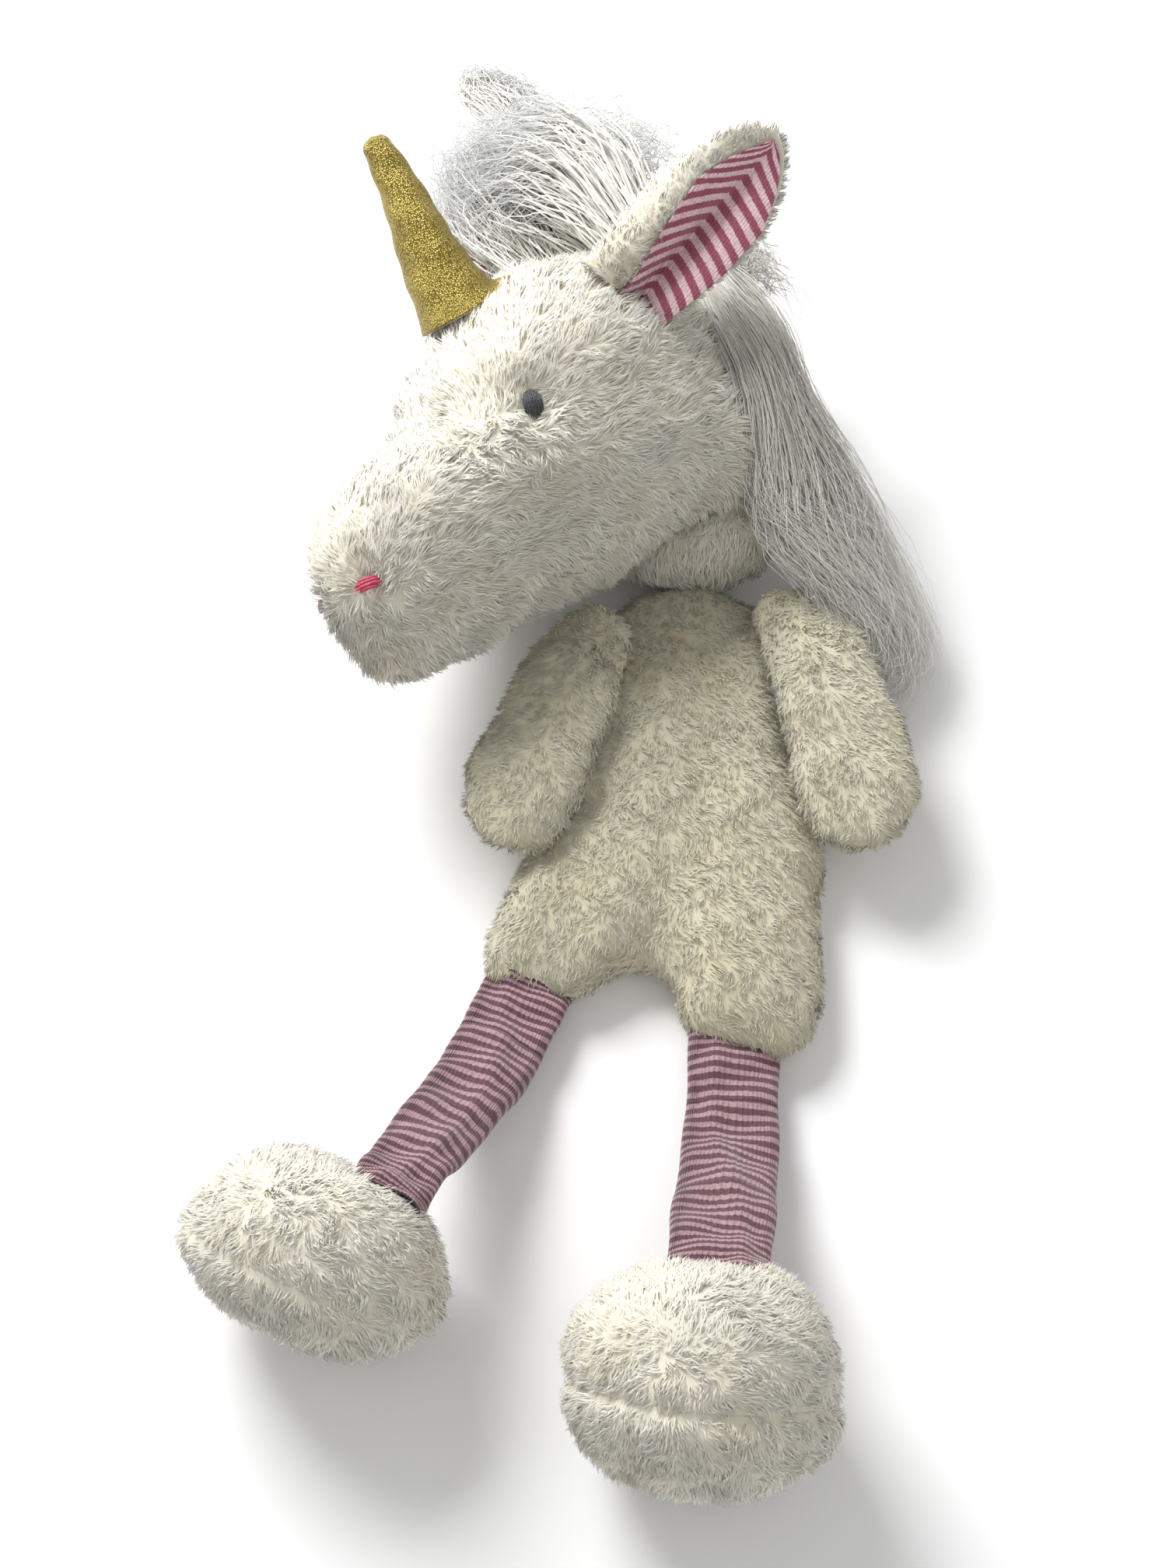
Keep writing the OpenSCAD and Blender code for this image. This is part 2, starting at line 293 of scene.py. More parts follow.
def goldFinish():
    material, shader = addMaterial("goldKnit", Metallic=0.75, Specular_IOR_Level=0.6)
    place = addNode(material, "TexCoord")
    weave = addNode(material, "TexVoronoi", {"Vector": place.outputs["Object"], "Scale": 1500.0})
    # painted glint at the middle of each stitch and painted shade towards its edges, in the base
    # colour
    glintAndShade = addRamp(material, weave.outputs["Distance"],
                    [(0.05, (0.72, 0.62, 0.30)), (0.40, (0.40, 0.315, 0.08)),
                     (0.8, (0.20, 0.155, 0.03))])
    rubbed = addRamp(material, addNoise(material, 75.0, 3.0),
                     [(0.35, (0.82, 0.78, 0.66)), (0.62, (1.08, 1.05, 0.98))])
    linkTo(material, multiplied(material, 0.9, glintAndShade, rubbed), shader, "Base Color")
    rough = addRamp(material, addNoise(material, 2300.0, 2.0),
                    [(0.35, (0.25, 0.25, 0.25)), (0.65, (0.62, 0.62, 0.62))])
    linkTo(material, rough, shader, "Roughness")
    addBump(material, weave.outputs["Distance"], shader, 0.0006, 0.9)
    return material

def hairFinish(name, root, tip):
    material, shader = addMaterial(name, Roughness=0.5, Sheen_Weight=0.9, Sheen_Roughness=0.35,
                                   Specular_IOR_Level=0.4)
    u, v = mapParts(material)
    along = addRamp(material, v, [(0.35, root), (0.9, tip)])
    shade = addRamp(material, u, [(0.0, (0.86, 0.86, 0.86)), (0.5, (1, 1, 1))])
    linkTo(material, multiplied(material, 1.0, along, shade), shader, "Base Color")
    return material

def threadFinish(name, dark, light):
    material, shader = addMaterial(name, Roughness=0.5, Sheen_Weight=0.3,
                                   Specular_IOR_Level=0.5)
    ply = addNoise(material, 1400.0, 2.0)
    linkTo(material, addRamp(material, ply, [(0.35, dark), (0.65, light)]), shader, "Base Color")
    addBump(material, ply, shader, 0.0003)
    return material

def fibreFinish(name, dark, light, scale):
    material, shader = addMaterial(name, Roughness=0.95, Sheen_Weight=0.2)
    fluff = addNoise(material, scale, 8.0, 0.7)
    linkTo(material, addRamp(material, fluff, [(0.35, dark), (0.6, light)]), shader, "Base Color")
    addBump(material, fluff, shader, 0.002)
    return material

legWales = 58      # ribs round a leg, in the finish and in the shape

finishes = {
    "plush": plushFinish("creamPlush", (0.74, 0.71, 0.61), (0.85, 0.825, 0.74), (0.89, 0.87, 0.80)),
    # the torso's and arms' plush is darker and more olive than the head's: partly real dirt, partly
    # painted shade; its spots are real stains
    "worn": plushFinish("dirtyShadedPlush", (0.60, 0.57, 0.44), (0.69, 0.66, 0.53), (0.75, 0.72, 0.60),
                        spotted=True),
    "jersey": knitFinish("stripedJersey", (0.135, 0.062, 0.080), (0.43, 0.285, 0.30),
                         wobble=0.8, darkShare=0.54, wales=legWales),
    "ear": knitFinish("earJersey", (0.36, 0.095, 0.14), (0.82, 0.60, 0.62),
                      wobble=0.3, darkShare=0.52, wales=30),
    "gold": goldFinish(),
    # painted shade: the mane is darker at its roots, among the dense strands, than at its ends
    "mane": hairFinish("maneFibre", (0.70, 0.675, 0.61), (0.82, 0.80, 0.745)),
    "forelock": hairFinish("forelockFibre", (0.79, 0.77, 0.70), (0.49, 0.495, 0.50)),
    "eye": threadFinish("charcoalThread", (0.012, 0.014, 0.017), (0.05, 0.055, 0.06)),
    "nostril": threadFinish("crimsonThread", (0.34, 0.02, 0.06), (0.66, 0.07, 0.15)),
    "filling": fibreFinish("whiteFibre", (0.78, 0.78, 0.77), (0.95, 0.95, 0.94),
                           scale=160.0),
    "tape": fibreFinish("wovenTape", (0.70, 0.68, 0.62), (0.88, 0.86, 0.80),
                        scale=700.0),
}
print("finishes made")

def dress(obj, finish):
    obj.data.materials.clear()
    obj.data.materials.append(finishes[finish])

# How a piece goes with the model: it rides on a body; given two bodies and a start and end instead,
# these are not used and the piece only keeps its place.
def fasten(obj, ride):
    if isinstance(ride, str):
        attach(obj, ride)
    else:
        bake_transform(obj)


# Stuffed forms: the filling's surface, remeshed and blown up in its skin.
# cap is the most a form swells, cloth the thickness of its panels and inset its filling's depth
stuffing = {"voxel": 0.004, "skin": 0.0016, "pressure": 4.0, "cap": 0.0035, "frames": 20,
            "cloth": 0.0015, "inset": 0.0032}

def stuffedForm(name, node):
    form = copyOf(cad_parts[node], name)
    welded(form)
    applied(form, "REMESH", mode="VOXEL", voxel_size=stuffing["voxel"])
    applied(form, "SMOOTH", factor=0.6, iterations=8)
    start = pointsOf(form)
    selectOnly(form)
    cloth = form.modifiers.new("cloth", "CLOTH")
    cloth.settings.use_pressure = True
    cloth.settings.uniform_pressure_force = stuffing["pressure"]
    cloth.settings.effector_weights.gravity = 0
    cloth.point_cache.frame_end = stuffing["frames"]
    for step in range(1, stuffing["frames"] + 1):
        scene.frame_set(step)
    bpy.ops.object.modifier_apply(modifier=cloth.name)
    scene.frame_set(1)
    swell = pointsOf(form) - start
    reach = np.linalg.norm(swell, axis=1, keepdims=True)
    start = start + swell * np.minimum(1, stuffing["cap"] / np.maximum(reach, 1e-9))
    setPoints(form, start)
    applied(form, "SMOOTH", factor=0.5, iterations=3)
    setPoints(form, pointsOf(form) + normalsOf(form) * stuffing["skin"])
    applied(form, "SUBSURF", levels=1, render_levels=1)
    form.data.materials.clear()
    return form

def dent(form, at, radius, depth, way=None):
    # pushes the surface in by depth around a place, or along a way
    co, up = pointsOf(form), normalsOf(form)
    fall = np.exp(-(np.linalg.norm(co - np.array(at), axis=1) / radius) ** 2)[:, None]
    setPoints(form, co - (up if way is None else np.array(way)) * fall * depth)

def lumpy(form, size, amount, seed):
    co = pointsOf(form)
    setPoints(form, co + normalsOf(form) * waves(co, size, seed)[:, None] * amount)

def seamAlong(form, heights, width, depth):
    # heights is each point's distance from the seam; the surface is drawn in there
    co = pointsOf(form)
    pull = np.exp(-(heights / width) ** 2)[:, None]
    setPoints(form, co - normalsOf(form) * pull * depth)

def cutAway(form, name, *planes):
    # keeps what is in front of every plane, as its own open piece
    piece = copyOf(form, name)
    for at, normal in planes:
        edited(piece, lambda: bpy.ops.mesh.bisect(plane_co=at, plane_no=normal,
                                                  clear_inner=True))
    return piece

def fabric(piece):
    welded(piece)
    applied(piece, "SOLIDIFY", thickness=stuffing["cloth"], offset=-1.0)
    smoothed(piece)



# Pile: short tapered locks that stand from the surface, lean along a flow and gather in tufts.
def meshFrom(name, co, faces, uv):
    # faces is a list of index arrays, one for each number of sides, and uv a value for each point
    mesh = bpy.data.meshes.new(name)
    loops = np.concatenate([f.ravel() for f in faces])
    sides = np.concatenate([np.full(len(f), f.shape[1]) for f in faces])
    mesh.vertices.add(len(co))
    mesh.vertices.foreach_set("co", co.astype(np.float32).ravel())
    mesh.loops.add(len(loops))
    mesh.loops.foreach_set("vertex_index", loops.astype(np.int32))
    mesh.polygons.add(len(sides))
    starts = np.concatenate([[0], np.cumsum(sides)[:-1]])
    mesh.polygons.foreach_set("loop_start", starts.astype(np.int32))
    mesh.update(calc_edges=True)
    mesh.polygons.foreach_set("use_smooth", np.ones(len(sides), bool))
    layer = mesh.uv_layers.new(name="UVMap")
    layer.uv.foreach_set("vector", uv[loops].astype(np.float32).ravel())
    mesh.validate()
    obj = bpy.data.objects.new(name, mesh)
    scene.collection.objects.link(obj)
    return obj

def scattered(surface, density, rng):
    # points spread evenly over a surface, with its normals, density to a square centimetre
    mesh = surface.data
    mesh.calc_loop_triangles()
    tri = np.empty(len(mesh.loop_triangles) * 3, np.int32)
    mesh.loop_triangles.foreach_get("vertices", tri)
    tri = tri.reshape(-1, 3)
    co, up = pointsOf(surface), normalsOf(surface)
    a, b, c = co[tri[:, 0]], co[tri[:, 1]], co[tri[:, 2]]
    area = np.linalg.norm(np.cross(b - a, c - a), axis=1) / 2
    count = int(area.sum() * 1e4 * density)
    pick = rng.choice(len(area), count, p=area / area.sum())
    u, v = rng.random((2, count, 1))
    over = u + v > 1
    u, v = np.where(over, 1 - u, u), np.where(over, 1 - v, v)
    spot = a[pick] + u * (b - a)[pick] + v * (c - a)[pick]
    n = up[tri[pick]]
    return spot, unit(n[:, 0] * (1 - u - v) + n[:, 1] * u + n[:, 2] * v)

def nearestOf(points, others):
    tree = KDTree(len(others))
    for i, p in enumerate(others):
        tree.insert(p, i)
    tree.balance()
    return np.array([tree.find(p)[1] for p in points])

aboveFloor = 0.0003                     # no fibre hangs lower than this
lockPoints = {True: 7, False: 4}        # a bent lock has a ring of points halfway

def locksFrom(name, root, middle, tip, up, wide, shade, bent):
    # three-sided locks that taper to a tip, with a bend halfway or without one
    count = len(root)
    axis = unit(tip - root)
    one = unit(np.cross(axis, up))
    two = np.cross(axis, one)
    rings = []
    for centre, size in (((root, 0.5), (middle, 0.42)) if bent else ((root, 0.5),)):
        for corner in range(3):
            turn = corner * 2 * math.pi / 3
            rings.append(centre + (one * math.cos(turn) + two * math.sin(turn)) * wide * size)
    co = np.stack(rings + [tip], 1).reshape(-1, 3)
    each = lockPoints[bent]
    last = each - 4
    caps = np.array([(last + k, last + (k + 1) % 3, each - 1) for k in range(3)] + [(2, 1, 0)])
    base = np.arange(count)[:, None, None] * each
    faces = [(base + caps).reshape(-1, 3)]
    if bent:
        quads = np.array([(k, (k + 1) % 3, (k + 1) % 3 + 3, k + 3) for k in range(3)])
        faces.insert(0, (base + quads).reshape(-1, 4))
    height = np.tile([0, 0, 0, 0.5, 0.5, 0.5, 1.0] if bent else [0, 0, 0, 1.0], count)
    co[:, 2] = np.maximum(co[:, 2], aboveFloor + 0.0002 * height)
    return meshFrom(name, co, faces, np.stack([np.repeat(shade, each), height], 1))

def growPile(surface, name, look, flow, seed, keep=None):
    # trim lists places where the pile is short, each with its reach and the share left there
    rng = np.random.default_rng(seed)
    root, up = scattered(surface, look["bent"] + look["fine"], rng)
    if keep is not None:
        held = keep(root, up)
        root, up = root[held], up[held]
    count = len(root)
    lie = flow(root, up)
    lie = unit(lie - up * (lie * up).sum(1, keepdims=True))
    side = np.cross(up, lie)
    swirl = waves(root, locks["swirl"], seed + 1) * look["swirl"]
    swirl += waves(root, locks["smallSwirl"], seed + 3) * look["swirl"] * 0.5
    lie = unit(lie + side * swirl[:, None])
    side = np.cross(up, lie)
    tufts = rng.choice(count, max(1, int(count / look["toTuft"])), replace=False)
    owner = tufts[nearestOf(root, root[tufts])]
    long = look["length"] * (0.7 + 0.5 * rng.random((count, 1)))
    long *= 1 + 0.2 * waves(root, locks["patch"], seed + 2)[:, None]
    for spot, reach, short in look.get("trim", ()):
        near = np.exp(-(np.linalg.norm(root - spot, axis=1) / reach) ** 4)[:, None]
        long *= 1 - near * (1 - short)
    lean = look["lean"] * (0.6 + 0.7 * rng.random((count, 1)))
    tuftLean = look["lean"] * (0.5 + rng.random((count, 1)))
    tuftWay = unit(up * (1 - tuftLean) + lie * tuftLean
                   + side * rng.normal(size=(count, 1)) * look["stray"] * 1.3)
    tuftTip = root + tuftWay * look["length"]
    away = rng.normal(size=(count, 1)) * look["stray"]
    tip = root + unit(up * (1 - lean) + lie * lean + side * away) * long
    gather = look["gather"] * (0.4 + 0.8 * rng.random((count, 1)))
    tip = tip + (tuftTip[owner] - tip) * np.minimum(gather, 0.92)
    middle = root + up * long * look["stand"] + (tip - root) * 0.4
    middle += side * rng.normal(size=(count, 1)) * look["wave"] * long
    root = root - up * locks["rooted"]
    wide = look["width"] * (0.7 + 0.6 * rng.random((count, 1)))
    shade = 0.35 * rng.random(count) + 0.65 * rng.random(count)[owner]
    bend = np.arange(count) < count * look["bent"] / (look["bent"] + look["fine"])
    parts = [locksFrom(name + kind, root[who], middle[who], tip[who], up[who], wide[who],
                       shade[who], bent)
             for kind, who, bent in (("Bent", bend, True), ("Fine", ~bend, False))]
    pile = joined(parts, name)
    # the locks are lit much like the surface they grow from
    over = np.concatenate([np.repeat(up[bend], lockPoints[True], axis=0),
                           np.repeat(up[~bend], lockPoints[False], axis=0)])
    litSoftly(pile, over, look["soft"])
    return pile

# sizes of the pile's swirls and patches, and how deep its locks are rooted
locks = {"swirl": 0.016, "smallSwirl": 0.006, "patch": 0.02, "rooted": 0.0005}
# bent and fine are how many of each kind of lock grow on a square centimetre
longPile = {"bent": 22, "fine": 105, "length": 0.0066, "width": 0.00066, "lean": 0.62,
            "stray": 0.18, "gather": 0.60, "toTuft": 22, "stand": 0.14, "wave": 0.08,
            "swirl": 0.8, "soft": 0.62}
flatPile = dict(longPile, length=0.0037, width=0.00058, lean=0.70, bent=14, fine=125, toTuft=12,
                gather=0.45, swirl=1.0, soft=0.76)
thinPile = dict(flatPile, bent=10, fine=70, width=0.0009, soft=0.3)
footPile = dict(longPile, length=0.0050, width=0.00064, lean=0.68, bent=26, fine=98, toTuft=14,
                gather=0.5, swirl=1.3, stray=0.24)
earPile = dict(longPile, length=0.0040, width=0.0006, bent=34, fine=115, lean=0.5)

def flatMap(panel):
    # the cloth under the pile has one colour, that of a root, so it carries the root's painted shade
    addMap(panel)
    panel.data.uv_layers[0].name = "UVMap"
    setMap(panel, np.tile([0.5, 0.0], (len(panel.data.loops), 1)))

# One stuffed body: its panels, the pile on each and the filling inside.
def finishPadded(panel, node, finish, look, flow, ride, seed, keep=None):
    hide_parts(node)
    pile = growPile(panel, panel.name + "_pile", look, flow, seed, keep)
    fabric(panel)
    flatMap(panel)
    for piece in (panel, pile):
        dress(piece, finish)
        fasten(piece, ride)

def finishFilling(form, name, node, ride):
    core = copyOf(form, name)
    applied(core, "DECIMATE", ratio=0.35)
    setPoints(core, pointsOf(core) - normalsOf(core) * stuffing["inset"])
    addMap(core)
    smoothed(core)
    dress(core, "filling")
    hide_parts(node)
    fasten(core, ride)

def dropForm(form):
    bpy.data.objects.remove(form)

# A lobe is cut along the middle of its own frame into an upper and a lower half.
def finishLobe(form, body, place, halves, finish, looks, flow, ride, seed, keep=None):
    above = Vector(wayOf(place, 2))
    for half, look, sign in zip(halves, looks, (1, -1)):
        panel = cutAway(form, body + "_" + half, (place.translation, above * sign))
        finishPadded(panel, body + "_" + half + "_panel", finish, look, flow, ride,
                     seed + sign, keep)
    finishFilling(form, body + "_stuffing", body + "_filling", ride)
    dropForm(form)
    print(body, "made")

def outwards(place):
    # pile that lies along a piece and a little out to its edges
    along, out = wayOf(place, 0), wayOf(place, 1)
    return lambda root, up: along + 0.5 * out * np.sign(moved(place.inverted(), root)[:, 1:2])

def bentAlong(place, inner, outer, start, end):
    # two bodies, and two places along the piece, a start and an end
    return inner, outer, tuple(place @ Vector((start, 0, 0))), tuple(place @ Vector((end, 0, 0)))


# Torso: a flat pouch of two panels.
torso = {"lumps": (0.05, 0.0012, 11), "seam": 0.012, "pinch": 0.0014, "fill": 0.35,
         "floor": 0.0006, "bareBelow": 0.0035, "shoulders": 0.011, "hip": 0.009}

def makeTorso():
    form = stuffedForm("torsoForm", "torso_filling")
    lumpy(form, *torso["lumps"])
    seamAlong(form, pointsOf(form)[:, 2] - torso["seam"], 0.003, torso["pinch"])
    co = pointsOf(form)
    co[:, 2] = np.maximum(co[:, 2], torso["floor"])
    co[:, 1] += torso["shoulders"] * np.clip((co[:, 1] - 0.035) / 0.045, 0, 1) ** 1.5
    # the hips hang low, the left one lowest
    left = np.clip(co[:, 0] / 0.03, 0, 1) * np.clip((0.01 - co[:, 1]) / 0.07, 0, 1)
    right = np.clip(-co[:, 0] / 0.04, 0, 1) * np.clip((-0.02 - co[:, 1]) / 0.05, 0, 1)
    co[:, 0] += torso["hip"] * 0.5 * np.where(co[:, 0] > 0, left, -right)
    co[:, 1] -= (0.007 + 0.003 * left) * np.clip((-0.03 - co[:, 1]) / 0.05, 0, 1)
    setPoints(form, co)

    def flow(root, up):
        # down the body and out to both sides
        return np.array([0, -1.0, 0]) + 0.4 * np.sign(root[:, :1]) * np.array([1.0, 0, 0])

    seam = (0, 0, torso["seam"])
    front = cutAway(form, "torso_front", (seam, (0, 0, 1)))
    back = cutAway(form, "torso_back", (seam, (0, 0, -1)))
    finishPadded(front, "torso_front_panel", "worn", flatPile, flow, "torso", 101)
    finishPadded(back, "torso_back_panel", "worn", dict(thinPile, lean=0.85), flow, "torso",
                 102, keep=lambda root, up: root[:, 2] > torso["bareBelow"])
    finishFilling(form, "torso_stuffing", "torso_filling", "torso")
    dropForm(form)
    print("torso made")


# Head: two sides and a gusset over the forehead, in a frame of its own.
head = {"at": (-34, 133, 57), "turn": (54, -12, -130), "fill": 0.95, "gusset": 0.014,
        "lumps": (0.045, 0.0012, 21), "jaw": (130, 0, -12), "brow": (-16, 0, 0),
        # where the pile parts on both sides, with the reach and the strength
        "partings": (((42, 41, 20), 0.03, 1.6), ((57, 27, 33), 0.02, 1.6),
                     ((125, 15, 1), 0.03, 1.8)),
        # where the pile is short on both sides, with the reach and the share left there
        "short": (((57, 27, 33), 0.0085, 0.55), ((42.4, 41.3, 19.7), 0.008, 0.6)),
        # places, reaches, and depths on the left and on the right
        "dents": (((57, 27, 33), 0.013, 0.0045, 0.0045), ((74, 33, 20), 0.011, 0.0025, 0.0025),
                  ((42, 43, 20), 0.010, 0.0035, 0.0035), ((124, 16, 2), 0.008, 0.002, 0.002),
                  ((72, 0, 38), 0.018, 0.003), ((112, 0, -44), 0.014, 0.003),
                  ((96, 30, 2), 0.022, -0.003), ((10, 50, -4), 0.03, -0.002),
                  ((40, 38, 36), 0.012, -0.003, -0.003),
                  ((-28, 38, -42), 0.020, -0.007, -0.004)),
        # the skull runs on into the neck at the back, and the chin is full
        "raised": (((0.010, 0.161, 0.070), 0.024, 0.009, (1, 0, 0.1)),
                   ((0.020, 0.134, 0.054), 0.022, 0.006, (1, 0, 0.3)),
                   ((0.019, 0.119, 0.050), 0.021, 0.013, (0.5, -0.85, 0.1)),
                   ((-0.098, 0.024, 0.062), 0.022, 0.006, (-0.1, -0.88, -0.4)))}
headPlace = placed(head["at"], head["turn"])
headWays = unit(np.array(headPlace)[:3, :3].T)   # forward, left and up through the crown

def inHead(*point):
    return headPlace @ (Vector(point) * millimetre)

def headFlow(root, up):
    forward, crown = headWays[0], headWays[2]
    local = moved(headPlace.inverted(), root)
    lie = np.tile(-forward * 0.8 - crown * 0.15, (len(root), 1))
    for (x, y, z), reach, push in head["partings"]:
        for sign in (1, -1):
            away = local - np.array((x, y * sign, z)) * millimetre
            near = np.exp(-(np.linalg.norm(away, axis=1) / reach) ** 2)[:, None]
            lie += turned(headPlace, unit(away)) * near * push
    # and it falls under the jaw
    low = np.clip(-(local[:, 2:] + 0.02) / 0.03, 0, 1)
    lie += low * (-crown * 1.2 + forward * 0.5)
    return lie

def makeHead():
    form = stuffedForm("headForm", "head_filling")
    lumpy(form, *head["lumps"])
    for (x, y, z), reach, *depths in head["dents"]:
        for sign, depth in zip((1, -1), depths):
            dent(form, inHead(x, y * sign, z), reach, depth)
    for spot, reach, rise, way in head["raised"]:
        dent(form, spot, reach, -rise, way=way)
    local = moved(headPlace.inverted(), pointsOf(form))
    onTop = (local[:, 2] > 0.0) & (local[:, 0] > -0.02)
    toSeam = np.where(onTop, np.abs(np.abs(local[:, 1]) - head["gusset"]), 1.0)
    seamAlong(form, toSeam, 0.0022, 0.0012)
    forward, left, crown = headWays
    edge, low, brow = head["gusset"] / millimetre, inHead(*head["jaw"]), inHead(*head["brow"])
    under = crown * 0.98 + forward * 0.2
    short = [(np.array(inHead(x, y * sign, z)), reach, share)
             for (x, y, z), reach, share in head["short"] for sign in (1, -1)]
    headPile = dict(longPile, trim=short)
    top = cutAway(form, "head_gusset_panel", (inHead(0, edge, 0), -left),
                  (inHead(0, -edge, 0), left), (low, under), (brow, forward))
    sides = []
    for name, sign in (("head_left_panel", 1), ("head_right_panel", -1)):
        outer = cutAway(form, name, (inHead(0, edge * sign, 0), left * sign))
        inner = [(inHead(0, 0, 0), left * sign), (inHead(0, edge * sign, 0), -left * sign)]
        below = cutAway(form, name + "2", *inner, (low, -under))
        behind = cutAway(form, name + "3", *inner, (low, under), (brow, -forward))
        sides.append(joined([outer, below, behind], name))

    def bare(root, up):
        # no pile grows through the stitching
        keep = np.ones(len(root), bool)
        for kind, stitch in stitches.items():
            for side in ("left", "right"):
                low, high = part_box(kind + "_" + side)
                away = np.linalg.norm(root - np.array((low + high) / 2), axis=1)
                keep &= away > stitch["bare"]
        return keep

    for panel, node, seed, keep in ((sides[0], "head_left_side", 201, bare),
                                    (sides[1], "head_right_side", 202, bare),
                                    (top, "head_gusset", 203, None)):
        finishPadded(panel, node, "plush", headPile, headFlow, "head", seed, keep)
    finishFilling(form, "head_stuffing", "head_filling", "head")
    print("head made")
    return form


# Satin stitches: threads side by side over an oval, on the surface of the head.
# proud is how far they stand off the filling, and bare how far the pile keeps away
stitches = {"eye": {"length": 0.0110, "width": 0.0069, "threads": 9, "rise": 0.0023,
                    "proud": 0.0030, "bare": 0.0056},
            "nostril": {"length": 0.0104, "width": 0.0046, "threads": 4, "rise": 0.0016,
                        "proud": 0.0040, "bare": 0.0048}}

def threadsOver(name, at, along, out, stitch, finish, node, seed):
    rng = np.random.default_rng(seed)
    across = np.cross(out, along)
    length, width, threads = stitch["length"], stitch["width"], stitch["threads"]
    rise = stitch["rise"]
    turns, steps, coAll, quads, shades = 8, 11, [], [], []
    for index in range(threads):
        off = (index + 0.5) / threads * 2 - 1
        half = length / 2 * math.sqrt(max(0.15, 1 - off * off * 0.85))
        radius = width / threads * 0.62
        base = len(coAll) * turns
        for step in range(steps + 1):
            t = step / steps * 2 - 1
            arch = rise * (1 - t * t) * math.sqrt(max(0.1, 1 - 0.7 * off * off)) - 0.0006
            middle = (at + along * half * t + across * (off * width / 2 + rng.normal() * 0.00006)
                      + out * arch)
            thick = radius * math.sqrt(max(0.05, 1 - t ** 6))
            ring = [middle + (across * math.cos(a) + out * math.sin(a)) * thick
                    for a in np.arange(turns) * 2 * math.pi / turns]
            coAll.append(ring)
        for step in range(steps):
            for k in range(turns):
                one, two = base + step * turns + k, base + step * turns + (k + 1) % turns
                quads.append((one, two, two + turns, one + turns))
        shades += [rng.random()] * ((steps + 1) * turns)
    co = np.array(coAll).reshape(-1, 3)
    uv = np.stack([np.array(shades), np.full(len(co), 0.5)], 1)
    obj = meshFrom(name, co, [np.array(quads)], uv)
    edited(obj, lambda: bpy.ops.mesh.select_all(action="DESELECT"),
           lambda: bpy.ops.mesh.select_non_manifold(),
           lambda: bpy.ops.mesh.fill_holes(sides=0),
           lambda: bpy.ops.mesh.select_all(action="SELECT"),
           lambda: bpy.ops.mesh.normals_make_consistent(inside=False))
    dress(obj, finish)
    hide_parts(node)
    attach(obj, "head")
    return obj

def makeFace(form):
    tree = BVHTree.FromPolygons([v.co.copy() for v in form.data.vertices],
                                [list(p.vertices) for p in form.data.polygons])
    forward, left, crown = headWays
    slant = math.radians(114)               # an eye stands almost upright on the face
    for kind, stitch in stitches.items():
        for side, sign in (("left", 1), ("right", -1)):
            node = kind + "_" + side
            low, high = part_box(node)
            spot, out = tree.find_nearest((low + high) / 2)[:2]
            out = np.array(out)
            way = forward * math.cos(slant) + crown * math.sin(slant)
            if kind == "nostril":
                way = left * sign * 0.85 - forward * 0.5 + crown * 0.05
            along = unit(way - out * (way @ out))
            threadsOver(node + "_stitches", np.array(spot) + out * stitch["proud"], along, out,
                        stitch, kind, node, 31)
    dropForm(form)
    print("face stitched")


# Neck: a short barrel in a lower and an upper half.
neck = {"middle": (0.0125, 0.104, 0.024), "towards": (-0.1, 0.8, 0.55), "fill": 0.8,
        "lower": ("torso", "neck", (0.011, 0.088, 0.020), (0.012, 0.099, 0.023)),
        "upper": ("neck", "head", (0.0125, 0.106, 0.026), (0.010, 0.122, 0.036)),
        # places, reaches, how far each is raised and which way
        "raised": (((0.028, 0.112, 0.044), 0.022, 0.013, (0.6, 0.3, 0.74)),
                   ((0.030, 0.096, 0.034), 0.020, 0.004, (0.6, 0.3, 0.74)),
                   ((0.010, 0.090, 0.030), 0.024, 0.004, (0, -0.8, 0.5)),
                   ((-0.008, 0.096, 0.026), 0.018, 0.008, (-0.9, -0.2, 0.4)),
                   ((0.026, 0.120, 0.036), 0.018, 0.006, (0.8, 0.3, 0.4)))}

def makeNeck():
    form = stuffedForm("neckForm", "neck_filling")
    for spot, reach, rise, way in neck["raised"]:
        dent(form, spot, reach, -rise, way=way)
    middle, towards = Vector(neck["middle"]), unit(np.array(neck["towards"]))
    flow = lambda root, up: np.tile([0.1, -1.0, -0.2], (len(root), 1))
    for half, sign, seed in (("lower", -1, 301), ("upper", 1, 302)):
        panel = cutAway(form, "neck_" + half, (middle, towards * sign))
        finishPadded(panel, "neck_skin", "plush", longPile, flow, neck[half], seed)
    for half, sign in (("lower", -1), ("upper", 1)):
        name = "neck_stuffing_" + half
        part = cutAway(form, name + "Form", (middle, towards * sign))
        capped(part)
        finishFilling(part, name, "neck_filling", neck[half])
        dropForm(part)
    dropForm(form)
    print("neck made")


# Arms: flat lobes, sewn on at the shoulder.
# outer is the side of the outer edge, and spread how much wider that edge is, shoulder to end
arms = {"left": {"place": placed((45, 72, 34), (0, 2, -75)), "seed": 401, "outer": 1,
                 "spread": (0.75, 0.55, 0.22, 0.08), "reach": 1.07},
        "right": {"place": placed((-24, 61, 34), (0, 2, -111)), "seed": 411, "outer": -1,
                  "spread": (0.25, 0.35, 0.28, 0.05), "reach": 1.0}}

